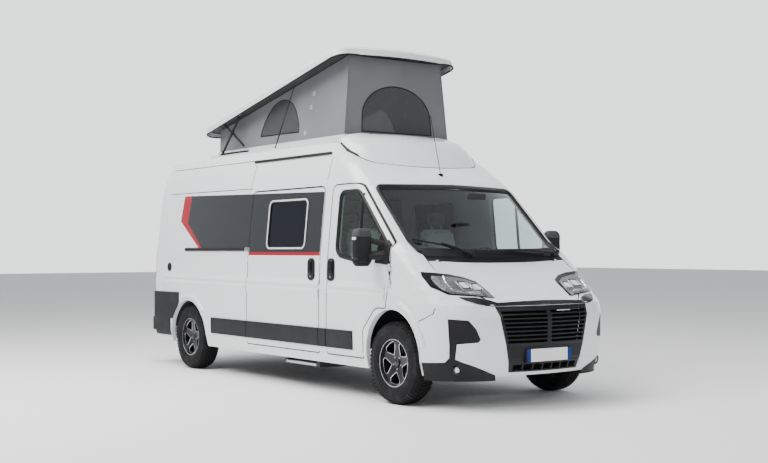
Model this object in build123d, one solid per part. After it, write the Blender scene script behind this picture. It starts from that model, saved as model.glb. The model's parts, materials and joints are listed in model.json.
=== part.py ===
"""High-roof camper van with a raised pop-top roof, built as separate named pieces.

Millimetres. Origin on the ground under the middle of the van. The nose points along -Y,
the van's left side is +X and +Z is up. Every piece is written to parts/NODE.step.
"""
from build123d import *
from math import atan2, cos, degrees, hypot, radians, sin
import os

os.makedirs("parts", exist_ok=True)

# ---------------------------------------------------------------- driving dimensions
LENGTH = 5998.0
WHEELBASE = 4035.0
FRONT_OVERHANG = 948.0
BODY_HALF = 1025.0
WALL = 45.0
ROOF_TOP = 2520.0
FLOOR_TOP = 560.0
FLOOR_THICK = 90.0
SILL_BOTTOM = 330.0
GAP = 6.0
SEAT_GAP = 0.3
GLASS_INSET = 8.0
GLASS_THICK = 6.0

TYRE_RADIUS = 368.0
TYRE_WIDTH = 225.0
RIM_RADIUS = 215.0
RIM_WIDTH = 190.0
HUB_RADIUS = 75.0
STUB_RADIUS = 32.0
TRACK_FRONT = 1810.0
TRACK_REAR = 1790.0
SPOKES = 5
TYRE_SIDES = 64

ARCH_FRONT_RADIUS = 398.0
ARCH_FRONT_Z = 445.0
ARCH_REAR_RADIUS = 450.0
ARCH_REAR_Z = 340.0

NOSE = -LENGTH / 2
TAIL = LENGTH / 2
AXLE_FRONT = NOSE + FRONT_OVERHANG
AXLE_REAR = AXLE_FRONT + WHEELBASE
TAIL_FACE = TAIL - 49.0

LEFT = 1
RIGHT = -1

# Horizontal sections of the body: height, nose on the centre line, knee (where the front
# curve ends) as |x| and set-back, set-back of the start of the side, half width, tail.
SECTIONS = (
    # z,    nose,    knee_x, knee_dy, side_dy, half,   tail
    (SILL_BOTTOM - 40, NOSE + 60, 560, 85, 560, BODY_HALF - 35, TAIL_FACE - 20),
    (420, NOSE + 22, 565, 80, 590, BODY_HALF - 6, TAIL_FACE - 6),
    (560, NOSE + 6, 570, 78, 600, BODY_HALF - 1, TAIL_FACE),
    (800, NOSE, 575, 80, 600, BODY_HALF, TAIL_FACE),
    (900, NOSE + 55, 590, 74, 560, BODY_HALF, TAIL_FACE),
    (955, NOSE + 195, 640, 40, 440, BODY_HALF - 1, TAIL_FACE),
    (1020, NOSE + 310, 720, 10, 370, BODY_HALF - 3, TAIL_FACE),
    (1060, NOSE + 388, 760, -10, 330, BODY_HALF - 11, TAIL_FACE),
    (1154, NOSE + 545, 826, -28, 225, BODY_HALF - 13, TAIL_FACE),
    (1260, NOSE + 690, 836, -30, 160, BODY_HALF - 15, TAIL_FACE),
    (1352, NOSE + 735, 862, 48, 230, BODY_HALF - 22, TAIL_FACE),
    (1426, NOSE + 812, 840, 90, 320, BODY_HALF - 30, TAIL_FACE),
    (1700, NOSE + 1078, 830, 112, 330, BODY_HALF - 57, TAIL_FACE),
    (1960, NOSE + 1335, 817, 127, 330, BODY_HALF - 84, TAIL_FACE - 6),
    (2045, NOSE + 1440, 800, 120, 330, BODY_HALF - 95, TAIL_FACE - 10),
    (2200, NOSE + 1705, 740, 60, 250, BODY_HALF - 135, TAIL_FACE - 22),
    (2300, NOSE + 1885, 720, 55, 220, BODY_HALF - 165, TAIL_FACE - 35),
    (2430, NOSE + 2130, 660, 60, 190, BODY_HALF - 225, TAIL_FACE - 60),
    (2490, NOSE + 2260, 560, 60, 180, BODY_HALF - 330, TAIL_FACE - 110),
    (ROOF_TOP, NOSE + 2400, 380, 60, 150, BODY_HALF - 560, TAIL_FACE - 220),
)
CORNER_BULGE = 0.18
REAR_CORNER = 110.0
NOSE_SLANT = 1.25


def arc(a, b, c):
    """Arc from a through b to c."""
    return Edge.make_three_point_arc(Vector(*a), Vector(*b), Vector(*c))


def bulge_arc(a, b, bulge):
    """Arc from a to b that stands off its chord by bulge times the chord, to the chord's right."""
    ax, ay, z = a
    bx, by, _ = b
    middle = ((ax + bx) / 2 + (by - ay) * bulge, (ay + by) / 2 - (bx - ax) * bulge, z)
    return arc(a, middle, b)


def outline(z, nose, knee_x, knee_dy, side_dy, half, tail, inset):
    """Closed horizontal outline of the body at height z, moved inwards by inset."""
    h = half - inset
    kx = knee_x - inset * 0.8
    y0 = nose + inset * NOSE_SLANT
    ky = y0 + knee_dy
    sy = y0 + side_dy
    ty = tail - inset
    rc = REAR_CORNER - inset * 0.4
    cut = rc * (1 - cos(radians(45)))
    edges = [
        arc((-kx, ky, z), (0, y0, z), (kx, ky, z)),
        bulge_arc((kx, ky, z), (h, sy, z), CORNER_BULGE),
        Edge.make_line((h, sy, z), (h, ty - rc, z)),
        arc((h, ty - rc, z), (h - cut, ty - cut, z), (h - rc, ty, z)),
        Edge.make_line((h - rc, ty, z), (rc - h, ty, z)),
        arc((rc - h, ty, z), (cut - h, ty - cut, z), (-h, ty - rc, z)),
        Edge.make_line((-h, ty - rc, z), (-h, sy, z)),
        bulge_arc((-h, sy, z), (-kx, ky, z), CORNER_BULGE),
    ]
    return Wire(edges)


def body_form(inset, bottom_drop=0.0):
    """The van's closed outer form, moved inwards by inset on every face but the lowest."""
    wires = []
    for z, *rest in SECTIONS:
        level = z - inset * 0.9 if z > 2400 else z
        if z < SILL_BOTTOM:
            level -= bottom_drop
        wires.append(outline(level, *rest, inset))
    return Solid.make_loft(wires, ruled=True)


def side_face(points, radii=None):
    """Face in the plane x = 0 from (y, z) points, with each corner rounded by its radius."""
    corners = [Vector(0, y, z) for y, z in points]
    face = Face(Wire.make_polygon(corners, close=True))
    if face.normal_at().X < 0:
        face = Face(Wire.make_polygon(corners[::-1], close=True))
    if radii:
        for (y, z), r in zip(points, radii):
            if r:
                near = face.vertices().sort_by_distance(Vector(0, y, z))[0]
                face = face.fillet_2d(r, [near])
    return face


def side_prism(face, side, near=600.0, far=1100.0):
    """Prism of a side face, on one side of the van, from |x| = near to far."""
    solid = extrude(face, amount=far - near, dir=(1, 0, 0))
    return Pos(near if side == LEFT else -far, 0, 0) * solid


def shrink(face, amount):
    """The same face moved inwards by amount."""
    return Face(face.outer_wire().offset_2d(-amount))


def box(x, y, z):
    """Box from three (low, high) pairs."""
    size = [hi - lo for lo, hi in (x, y, z)]
    mid = [(hi + lo) / 2 for lo, hi in (x, y, z)]
    return Pos(*mid) * Box(*size)


def bar(a, b, width, height):
    """Rectangular bar from a to b, both in one plane of constant x; width along X."""
    (x, ay, az), (_, by, bz) = a, b
    length = hypot(by - ay, bz - az)
    angle = degrees(atan2(bz - az, by - ay))
    middle = (x, (ay + by) / 2, (az + bz) / 2)
    return Pos(*middle) * Rot(angle, 0, 0) * Box(width, length, height)


def rod(a, b, radius):
    """Round rod from a to b."""
    start, end = Vector(*a), Vector(*b)
    plane = Plane(origin=start, z_dir=end - start)
    return extrude(plane * Circle(radius), amount=(end - start).length)


def x_disc(x0, x1, y, z, radius):
    """Cylinder along X from x0 to x1."""
    low, high = sorted((x0, x1))
    return Pos((low + high) / 2, y, z) * Rot(0, 90, 0) * Cylinder(radius, high - low)


def joined(*shapes):
    """One shape fused from several."""
    result = shapes[0]
    for shape in shapes[1:]:
        result = result + shape
    return result


NODES = {}


def keep(name, shape):
    """Store one node's solids."""
    NODES[name] = Compound(children=list(shape.solids()))


# ---------------------------------------------------------------- side outlines (y, z)
DOOR_BOTTOM = 378.0
SHUT_TOP = 1992.0
SLIDE_FRONT = -850.0
SLIDE_REAR = 585.0
CAB_REAR = -985.0
CAB_HINGE_Y = -2024.0
CAB_HINGE_X = BODY_HALF + 4
WINDOW_LOW = 1390.0
WINDOW_HIGH = 1880.0

CAB_DOOR = (
    # y, z, corner radius
    (CAB_REAR, DOOR_BOTTOM, 20),
    (CAB_REAR, SHUT_TOP + 10, 70),
    (-1440, SHUT_TOP + 10, 160),
    (-2018, 1440, 40),
    (-2018, 1180, 60),
    (-1962, 850, 15),
    (-1800, 850, 130),
    (-1604, 640, 60),
    (-1604, DOOR_BOTTOM, 15),
)
CAB_WINDOW = (
    (-1130, 1330, 110),
    (-1130, 1925, 60),
    (-1430, 1925, 110),
    (-1925, 1440, 25),
    (-1925, 1330, 20),
    (-1500, 1275, 200),
)
SLIDE_DOOR = (
    (SLIDE_FRONT, DOOR_BOTTOM, 20),
    (SLIDE_FRONT, SHUT_TOP, 60),
    (SLIDE_REAR, SHUT_TOP, 60),
    (SLIDE_REAR, DOOR_BOTTOM, 20),
)
SIDE_WINDOW = (
    (-550, WINDOW_LOW, 60),
    (-550, WINDOW_HIGH, 60),
    (200, WINDOW_HIGH, 60),
    (200, WINDOW_LOW, 60),
)


def table_face(table):
    """Side face from rows of y, z and corner radius."""
    return side_face([(y, z) for y, z, _ in table], [r for _, _, r in table])


cab_door_face = table_face(CAB_DOOR)
cab_window_face = table_face(CAB_WINDOW)
slide_door_face = table_face(SLIDE_DOOR)
side_window_face = table_face(SIDE_WINDOW)

# ---------------------------------------------------------------- shells
outer = body_form(0)
inner = body_form(WALL, bottom_drop=60)
shell = outer - inner
glass_skin = body_form(GLASS_INSET) - body_form(GLASS_INSET + GLASS_THICK)


def front_arch(side):
    """Space cut for a front wheel."""
    disc = x_disc(side * 640, side * 1150, AXLE_FRONT, ARCH_FRONT_Z, ARCH_FRONT_RADIUS)
    low = box(sorted((side * 640, side * 1150)), (AXLE_FRONT - ARCH_FRONT_RADIUS,
              AXLE_FRONT + ARCH_FRONT_RADIUS), (100, ARCH_FRONT_Z))
    return disc + low


def rear_arch(side, grow=0.0, inner_x=745.0):
    """Space cut for a rear wheel, or the outside of its inner arch with grow."""
    radius = ARCH_REAR_RADIUS + grow
    disc = x_disc(side * (inner_x - grow), side * 1150, AXLE_REAR, ARCH_REAR_Z, radius)
    low = box(sorted((side * (inner_x - grow), side * 1150)), (AXLE_REAR - radius, AXLE_REAR + radius),
              (100, ARCH_REAR_Z))
    return disc + low


# ---------------------------------------------------------------- body panels
ROOF_SEAM = 2336.0
HEADER_REAR = -1248.0
BELT = 1344.0
REAR_DOOR_HALF = 900.0
REAR_DOOR_TOP = 2210.0
REAR_DOOR_LOW = 575.0

cab_cut = side_prism(cab_door_face, LEFT) + side_prism(cab_door_face, RIGHT)
slide_cut = side_prism(slide_door_face, RIGHT)
left_window_cut = side_prism(side_window_face, LEFT)
REAR_DOOR = (
    # x, z, corner radius
    (0, REAR_DOOR_LOW, 0),
    (REAR_DOOR_HALF, REAR_DOOR_LOW, 30),
    (REAR_DOOR_HALF, 1350, 300),
    (REAR_DOOR_HALF - 92, 2090, 100),
    (REAR_DOOR_HALF - 150, REAR_DOOR_TOP, 60),
    (0, REAR_DOOR_TOP, 0),
)


def rear_outline(table):
    """Face in the plane y = 0 from rows of x, z and corner radius."""
    face = Face(Wire.make_polygon([Vector(x, 0, z) for x, z, _ in table], close=True))
    for x, z, r in table:
        if r:
            face = face.fillet_2d(r, [face.vertices().sort_by_distance(Vector(x, 0, z))[0]])
    return face


def rear_prism(face, side):
    """Prism along Y of an outline on a rear door."""
    solid = Pos(0, TAIL_FACE - 250, 0) * extrude(face, amount=400, dir=(0, 1, 0))
    return solid if side == LEFT else mirror_x(solid)


def mirror_x(shape):
    """The shape mirrored from one side of the van to the other."""
    return mirror(shape, Plane.YZ)


rear_door_face = rear_outline(REAR_DOOR)
rear_cut = rear_prism(rear_door_face, LEFT) + rear_prism(rear_door_face, RIGHT)
LAMP_REAR = ((950, 1100), (880, 1400))


def tail_lamp_space(side, inset=0.0):
    """Room for a tail lamp at a rear corner."""
    (x0, x1), (z0, z1) = LAMP_REAR
    return box(sorted((side * (x0 + inset), side * x1)), (TAIL_FACE - 80 + inset, TAIL),
               (z0 + inset, z1 - inset))


def side_panel(side):
    """Side of the living space, from the cab door to the rear corner."""
    region = box(sorted((0, side * 1100)), (CAB_REAR, TAIL), (200, ROOF_SEAM))
    panel = shell & region
    panel = panel - rear_cut - rear_arch(side)
    panel = panel - (slide_cut if side == RIGHT else left_window_cut)
    return panel - tail_lamp_space(side)


BED_HALF = 590.0
BED_FRONT = -660.0
BED_REAR = 1350.0


def roof_panel():
    """Roof skin above the seam, with the opening up to the bed."""
    region = box((-1100, 1100), (HEADER_REAR, TAIL), (ROOF_SEAM, 2600))
    hatch = box((-BED_HALF, BED_HALF), (BED_FRONT, BED_REAR), (2300, 2700))
    return (shell & region) - hatch


def screen_opening(inset=0.0):
    """Prism of the windscreen opening, seen from the front."""
    low, high = 1357 + inset, 1956 - inset
    half_low, half_high = 832 - inset, 806 - inset
    points = [(-half_low, 0, low), (-half_high, 0, high), (half_high, 0, high), (half_low, 0, low)]
    face = Face(Wire.make_polygon([Vector(*p) for p in points], close=True))
    face = face.fillet_2d(45, face.vertices())
    return Pos(0, -1300, 0) * extrude(face, amount=1400, dir=(0, -1, 0))


def screen_frame():
    """Windscreen pillars, cab header and front roof, above the belt line."""
    region = box((-1100, 1100), (HEADER_REAR, CAB_REAR), (BELT, ROOF_SEAM))
    front = box((-1100, 1100), (NOSE, HEADER_REAR), (BELT, 2600))
    return (shell & (region + front)) - cab_cut - screen_opening()


HOOD_HALF = 822.0
HOOD_FRONT = NOSE + 150
HOOD_REAR = -2312.0
LAMP_OUTLINE = (
    # x, z of the lamp seen from the front
    (444, 951), (452, 1030), (470, 1094), (570, 1134), (695, 1159), (948, 1183), (957, 1146), (942, 1050),
    (858, 986), (655, 970),
)
LAMP_DEPTH = (NOSE - 50, -2300)
LAMP_SEAT = 0.8


def front_prism(points, depth=(NOSE - 50, -2150), inset=0.0):
    """Prism along Y of an (x, z) outline, drawn in by inset."""
    face = Face(Wire.make_polygon([Vector(x, depth[0], z) for x, z in points], close=True))
    if inset:
        face = shrink(face, inset)
    return extrude(face, amount=depth[1] - depth[0], dir=(0, 1, 0))


def hood_region(inset=0.0):
    """Space of the bonnet: tapered in plan, between its front edge and the scuttle."""
    front_half = 500 - inset
    rear_half = HOOD_HALF - inset
    y0, y1 = HOOD_FRONT + inset, HOOD_REAR - inset
    points = [(-front_half, y0), (front_half, y0), (rear_half, y0 + 330), (rear_half, y1),
              (-rear_half, y1), (-rear_half, y0 + 330)]
    face = Face(Wire.make_polygon([Vector(x, y, 900) for x, y in points], close=True))
    return extrude(face, amount=500, dir=(0, 0, 1))


HOOD_SKIN = 32.0
bonnet_skin = outer - body_form(HOOD_SKIN)
lamp_right = front_prism([(-x, z) for x, z in LAMP_OUTLINE], LAMP_DEPTH)
lamp_left = front_prism([(x, z) for x, z in LAMP_OUTLINE], LAMP_DEPTH)
scuttle_region = box((-HOOD_HALF, HOOD_HALF), (HOOD_REAR, -2100), (1100, BELT))


def wing(side):
    """Front wing, from the bumper seam to the cab door, round the wheel arch."""
    region = box(sorted((0, side * 1100)), (NOSE, CAB_HINGE_Y + 60), (640, BELT))
    low = box(sorted((0, side * 1100)), (AXLE_FRONT - ARCH_FRONT_RADIUS - 10, CAB_REAR), (200, BELT))
    panel = shell & (region + low)
    bumper = bumper_region()
    panel = panel - bumper - cab_cut - front_arch(side) - hood_region() - scuttle_region
    panel = panel - (lamp_left if side == LEFT else lamp_right)
    return panel


def bumper_region():
    """Space of the front bumper: below the lamps, forward of the wing seam."""
    face = side_face([(NOSE - 20, 240), (NOSE - 20, 905), (-2700, 905), (-2560, 850),
                      (-2470, 700), (-2458, 240)])
    return Pos(-1100, 0, 0) * extrude(face, amount=2200, dir=(1, 0, 0))


GRILLE_LOW = 318.0
GRILLE_HIGH = 888.0
PLATE_LOW = 398.0
PLATE_HIGH = 545.0
GRILLE = (
    # x, z of the one black face that holds the grille, the plate panel and the lower intake
    (-402, GRILLE_LOW), (402, GRILLE_LOW), (455, PLATE_HIGH), (540, GRILLE_HIGH), (-540, GRILLE_HIGH),
    (-455, PLATE_HIGH),
)
INSERT = (
    # x, z of the corner insert: wing, stem and skirt round the white lower bar
    (914, 785), (778, 773), (721, 701), (683, 610), (700, 586), (852, 572), (855, 442), (811, 418),
    (700, 376), (511, 297), (505, 240), (1010, 240), (1010, 405), (918, 415), (897, 455),
)
SKIRT_LOW = 250.0
INSERT_DEPTH = 6.0
INSERT_THICK = 24.0


def bumper():
    """Painted bumper with openings for the grille and the corner inserts."""
    solid = (shell & bumper_region()) - front_arch(LEFT) - front_arch(RIGHT) - hood_region()
    solid = solid - front_prism(GRILLE)
    solid = solid - front_prism(INSERT) - front_prism([(-x, z) for x, z in INSERT])
    return solid - lamp_left - lamp_right



# ---------------------------------------------------------------- hinges
KNUCKLE = 9.0
LUG = 32.0


def hinge(x, y, z, body_tab, leaf_tab):
    """Vertical hinge: a lower lug with its tab for the body, an upper one for the leaf.

    Each tab is (x end, y end) of a flat bar that starts at the hinge axis.
    """
    halves = []
    for low, tab in ((z - LUG, body_tab), (z + SEAT_GAP, leaf_tab)):
        barrel = Pos(x, y, low + LUG / 2) * Cylinder(KNUCKLE, LUG)
        tx, ty = tab
        arm = rod((x, y, low + LUG / 2), (tx, ty, low + LUG / 2), KNUCKLE * 0.8)
        halves.append(barrel + arm)
    return halves


def pocket(x, y, z, grow=8.0):
    """Room round a hinge, cut from the panels on both sides of it."""
    return Pos(x, y, z) * Cylinder(KNUCKLE + grow, 2 * LUG + 2 * grow)


# ---------------------------------------------------------------- doors
CAB_HINGES = (1075.0, 1215.0)
REAR_HINGE_X = 912.0
REAR_HINGE_Y = TAIL - 20.0
REAR_HINGES = (960.0, 1300.0, 1640.0)


def cab_door(side):
    """Cab door with its window frame and the leaf halves of its hinges."""
    leaf = shell & side_prism(shrink(cab_door_face, GAP), side)
    leaf = leaf - side_prism(cab_window_face, side)
    for z in CAB_HINGES:
        leaf = leaf - pocket(side * CAB_HINGE_X, CAB_HINGE_Y, z)
        body_half, leaf_half = hinge(side * CAB_HINGE_X, CAB_HINGE_Y, z,
                                     (side * (CAB_HINGE_X - 25), CAB_HINGE_Y - 30),
                                     (side * (CAB_HINGE_X - 32), CAB_HINGE_Y + 62))
        leaf = leaf + leaf_half
    return leaf


def cab_hinge_bodies(side):
    """Body halves of one cab door's hinges."""
    halves = []
    for z in CAB_HINGES:
        body_half, leaf_half = hinge(side * CAB_HINGE_X, CAB_HINGE_Y, z,
                                     (side * (CAB_HINGE_X - 25), CAB_HINGE_Y - 30),
                                     (side * (CAB_HINGE_X - 32), CAB_HINGE_Y + 62))
        halves.append(body_half)
    return halves


def cab_pockets(side):
    """Room round one cab door's hinges."""
    rooms = []
    for z in CAB_HINGES:
        room = pocket(side * CAB_HINGE_X, CAB_HINGE_Y, z)
        slot = box(sorted((side * (CAB_HINGE_X - 44), side * (CAB_HINGE_X + 20))),
                   (CAB_HINGE_Y - 2, CAB_HINGE_Y + 70), (z - 2, z + LUG + 8))
        rooms.append(room + slot)
    return joined(*rooms)


def window_pane(face, side, trim=0.0):
    """Flush pane inside a window outline."""
    return glass_skin & side_prism(shrink(face, SEAT_GAP + trim), side)


rear_window_face = Face(Wire.make_polygon(
    [Vector(x, 0, z) for x, z in ((130, 1330), (770, 1330), (740, 1930), (130, 1930))], close=True))
rear_window_face = rear_window_face.fillet_2d(60, rear_window_face.vertices())


def rear_hinge_halves(side, z):
    """Body and leaf halves of one exposed rear door hinge."""
    knee_x = side * (REAR_HINGE_X - 90)
    body_half, leaf_half = hinge(side * REAR_HINGE_X, REAR_HINGE_Y, z,
                                 (side * (REAR_HINGE_X + 8), TAIL_FACE - 22),
                                 (knee_x, REAR_HINGE_Y - 6))
    middle = z + SEAT_GAP + LUG / 2
    root = rod((knee_x, REAR_HINGE_Y - 6, middle), (knee_x, TAIL_FACE - 22, middle), KNUCKLE * 0.8)
    return body_half, leaf_half + root


def rear_door(side):
    """Half-width rear door with its window opening and leaf halves of the hinges."""
    leaf = shell & rear_prism(shrink(rear_door_face, GAP / 2), side)
    leaf = leaf - rear_prism(rear_window_face, side)
    for z in REAR_HINGES:
        leaf = leaf + rear_hinge_halves(side, z)[1]
    return leaf


def bonnet():
    """Bonnet skin with its two hinge lugs."""
    panel = bonnet_skin & hood_region(GAP)
    panel = panel - lamp_left - lamp_right
    return panel


HOOD_HINGE_Z = 1276.0
HOOD_HINGE_Y = HOOD_REAR - 3.0


def hood_hinge(side):
    """Scuttle and bonnet halves of one bonnet hinge, on an axis along X."""
    halves = []
    for x0, x1, y, z in ((675, 700 - SEAT_GAP / 2, 30, -4), (700 + SEAT_GAP / 2, 725, -34, -40)):
        barrel = x_disc(side * x0, side * x1, HOOD_HINGE_Y, HOOD_HINGE_Z, 7)
        xc = side * (x0 + x1) / 2
        arm = rod((xc, HOOD_HINGE_Y, HOOD_HINGE_Z), (xc, HOOD_HINGE_Y + y, HOOD_HINGE_Z + z), 6)
        halves.append(barrel + arm)
    return halves


# ---------------------------------------------------------------- pop-top
ARM_X = 748.0
ARM_BASE = (1633.0, 2502.0)
ARM_TOP = (1228.0, 2902.0)
ARM_SWEEP = 39.0
ROOF_TILT = 12.0
ARM_LENGTH = hypot(ARM_TOP[0] - ARM_BASE[0], ARM_TOP[1] - ARM_BASE[1])
ARM_RAISED = degrees(atan2(ARM_TOP[1] - ARM_BASE[1], ARM_TOP[0] - ARM_BASE[0]))
ARM_LOWERED = ARM_RAISED + ARM_SWEEP
PIVOT_LOW = (ARM_BASE[0] + ARM_LENGTH * cos(radians(ARM_LOWERED)),
             ARM_BASE[1] + ARM_LENGTH * sin(radians(ARM_LOWERED)))
STAY_BASE = (1171.0, 2545.0)
STAY_TOP = (1621.0, 2822.0)
LID_FRONT = PIVOT_LOW[0] - 2075.0
LID_REAR = PIVOT_LOW[0] + 862.0
LID_BASE = PIVOT_LOW[1] - 12.0
LID_DEPTH = 112.0
LID_HALF_REAR = 805.0
LID_HALF_FRONT = 768.0
LID_SKIN = 22.0
TENT_BASE = 2526.0
TENT_HALF = 651.0
TENT_TOP_HALF = 577.0
TENT_FRONT = -744.0
TENT_REAR = 1890.0
CANVAS = 6.0


def lid_outline(z, inset, bow):
    """Plan outline of the roof shell at height z, moved in by inset, its front bowed forward."""
    hr, hf = LID_HALF_REAR - inset, LID_HALF_FRONT - inset
    y0, y1 = LID_FRONT + inset, LID_REAR - inset
    r = 150.0 - inset * 0.3
    k = r * (1 - cos(radians(45)))
    edges = [
        arc((-hf + r, y0, z), (0, y0 - bow, z), (hf - r, y0, z)),
        arc((hf - r, y0, z), (hf - k, y0 + k, z), (hf, y0 + r, z)),
        Edge.make_line((hf, y0 + r, z), (hr, y1 - r, z)),
        arc((hr, y1 - r, z), (hr - k, y1 - k, z), (hr - r, y1, z)),
        Edge.make_line((hr - r, y1, z), (r - hr, y1, z)),
        arc((r - hr, y1, z), (k - hr, y1 - k, z), (-hr, y1 - r, z)),
        Edge.make_line((-hr, y1 - r, z), (-hf, y0 + r, z)),
        arc((-hf, y0 + r, z), (k - hf, y0 + k, z), (r - hf, y0, z)),
    ]
    return Wire(edges)


def raise_lid(shape):
    """Carry a shape of the closed roof shell to its raised place."""
    level = Pos(0, -PIVOT_LOW[0], -PIVOT_LOW[1]) * shape
    return Pos(0, ARM_TOP[0], ARM_TOP[1]) * Rot(-ROOF_TILT, 0, 0) * level


def roof_shell():
    """Dished roof shell with rounded corners, open below, on two pivot lugs."""
    top = LID_BASE + LID_DEPTH
    outer_lid = Solid.make_loft([lid_outline(LID_BASE, 0, 60), lid_outline(LID_BASE + 62, 8, 60),
                                 lid_outline(top - 12, 42, 55), lid_outline(top, 90, 50),
                                 lid_outline(top + 22, 330, 30)], ruled=True)
    inner_lid = Solid.make_loft([lid_outline(LID_BASE - 5, LID_SKIN, 60),
                                 lid_outline(LID_BASE + 50, LID_SKIN + 6, 60),
                                 lid_outline(top - LID_SKIN, 75, 50)], ruled=True)
    dish = outer_lid - inner_lid
    lugs = []
    for side in (LEFT, RIGHT):
        x0 = side * (ARM_X + 6 + SEAT_GAP)
        lug = x_disc(x0, x0 + side * 10, PIVOT_LOW[0], PIVOT_LOW[1], 16)
        stem = box(sorted((x0, x0 + side * 10)), (PIVOT_LOW[0] - 14, PIVOT_LOW[0] + 14),
                   (PIVOT_LOW[1], top - 30))
        lugs.append((lug + stem) & outer_lid)
        hanger = box(sorted((x0, x0 + side * 26)), (PIVOT_LOW[0] - 14, PIVOT_LOW[0] + 14),
                     (LID_BASE + 6, LID_BASE + 40))
        lugs.append(hanger & outer_lid)
    return raise_lid(joined(dish, *lugs))


def crossing(a, b, c, d):
    """Point where the line a-b meets the line c-d, all as (y, z)."""
    (ay, az), (by, bz), (cy, cz), (dy, dz) = a, b, c, d
    along = ((cy - ay) * (dz - cz) - (cz - az) * (dy - cy)) / ((by - ay) * (dz - cz) - (bz - az) * (dy - cy))
    return (ay + along * (by - ay), az + along * (bz - az))


SCISSOR_PIN = crossing(ARM_BASE, ARM_TOP, STAY_BASE, STAY_TOP)
PIN_BOSS = 17.0


def arm_pair(start, end, x, width, thick):
    """The same flat link on both sides, with round ends and a boss at the middle pin."""
    links = []
    for side in (LEFT, RIGHT):
        xc = side * x
        link = bar((xc, *start), (xc, *end), thick, width)
        for (y, z), radius in ((start, width / 2), (end, width / 2), (SCISSOR_PIN, PIN_BOSS)):
            link = link + x_disc(xc - thick / 2, xc + thick / 2, y, z, radius)
        links.append(link)
    return links


roof_surface = body_form(-SEAT_GAP)


def base_rails():
    """Rails on the roof with the brackets that carry the lifting arms."""
    rails = []
    for side in (LEFT, RIGHT):
        rail = box(sorted((side * (ARM_X - 30), side * (ARM_X + 22))), (1080, 1670), (2440, 2486))
        x0 = side * (ARM_X + 6 + SEAT_GAP)
        ear = x_disc(x0, x0 + side * 8, *ARM_BASE, 16)
        foot = box(sorted((x0, x0 + side * 8)), (ARM_BASE[0] - 16, ARM_BASE[0] + 16), (2470, ARM_BASE[1]))
        rails.append(joined(rail, ear, foot) - roof_surface)
    return rails


def deck_frame():
    """Ring round the bed opening: a skirt on the roof and the coaming that holds the canvas."""
    plan = [(-(TENT_HALF + 132), 1965), (TENT_HALF + 132, 1965), (TENT_HALF + 132, TENT_FRONT - 60),
            (-(TENT_HALF + 132), TENT_FRONT - 60)]
    base = Face(Wire.make_polygon([Vector(x, y, 2380) for x, y in plan], close=True))
    base = base.fillet_2d(120, base.vertices())
    skirt = extrude(base, amount=2460 - 2380, dir=(0, 0, 1))
    step = box((-TENT_HALF - 14, TENT_HALF + 14), (TENT_FRONT - 30, TENT_REAR + 30),
               (2440, TENT_BASE - SEAT_GAP))
    hole = box((-BED_HALF, BED_HALF), (BED_FRONT, BED_REAR), (2300, 2700))
    rear_pan = box((-TENT_HALF + 40, TENT_HALF - 40), (BED_REAR + 60, TENT_REAR - 50), (2475, 2700))
    ring = (skirt + step) - hole - rear_pan
    for side in (LEFT, RIGHT):
        ring = ring - box(sorted((side * (ARM_X - 30 - SEAT_GAP), side * (ARM_X + 22 + SEAT_GAP))),
                          (1080 - SEAT_GAP, 1670 + SEAT_GAP), (2350, 2600))
    return ring - roof_surface


CAP_SECTIONS = (
    # z,   nose, knee_x, knee_dy, side_dy, half
    (2120, -1375, 560, 60, 260, 775),
    (2210, -1298, 560, 60, 260, 775),
    (2310, -1220, 560, 62, 260, 772),
    (2405, -1130, 550, 66, 260, 766),
    (2480, -1030, 520, 70, 250, 748),
    (2518, -950, 470, 75, 230, 712),
    (2542, -860, 380, 60, 120, 600),
)
CAP_TAIL = -500.0


def fairing():
    """Moulded cap on the cab roof, in front of the raised canvas."""
    cap = Solid.make_loft([outline(*row, CAP_TAIL, 0) for row in CAP_SECTIONS], ruled=True)
    return (cap & box((-1100, 1100), (-1500, TENT_FRONT - 70), (2100, 2600))) - roof_surface


def tent():
    """Canvas walls between the coaming and the roof shell."""
    tilt = radians(ROOF_TILT)
    reach = LID_BASE + 24 - PIVOT_LOW[1]

    def under_lid(y):
        """Height just inside the raised shell above a point y of the deck."""
        return ARM_TOP[1] + (ARM_TOP[0] - y) * sin(tilt) / cos(tilt) + reach / cos(tilt)

    def ring(shift):
        low = [(s * (TENT_HALF - shift), y, TENT_BASE) for s, y in
               ((-1, TENT_FRONT + shift), (1, TENT_FRONT + shift), (1, TENT_REAR - shift), (-1, TENT_REAR - shift))]
        rows = ((-1, TENT_FRONT + 26 + shift, TENT_TOP_HALF), (1, TENT_FRONT + 26 + shift, TENT_TOP_HALF),
                (1, TENT_REAR + 8 - shift, TENT_HALF - 10), (-1, TENT_REAR + 8 - shift, TENT_HALF - 10))
        high = [(s * (half - shift), y, under_lid(y)) for s, y, half in rows]
        return [Wire.make_polygon([Vector(*p) for p in points], close=True) for points in (low, high)]

    return Solid.make_loft(ring(0), ruled=True) - Solid.make_loft(ring(CANVAS), ruled=True)


# ---------------------------------------------------------------- wheels
RIM_FACE = 62.0


def ring_corners(x, radius):
    """Corners of a regular outline about the X axis whose flats stand at radius."""
    corner = radius / cos(radians(180 / TYRE_SIDES))
    turns = [radians(360 / TYRE_SIDES * (i + 0.5)) for i in range(TYRE_SIDES)]
    return [Vector(x, corner * sin(t), -corner * cos(t)) for t in turns]


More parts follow.
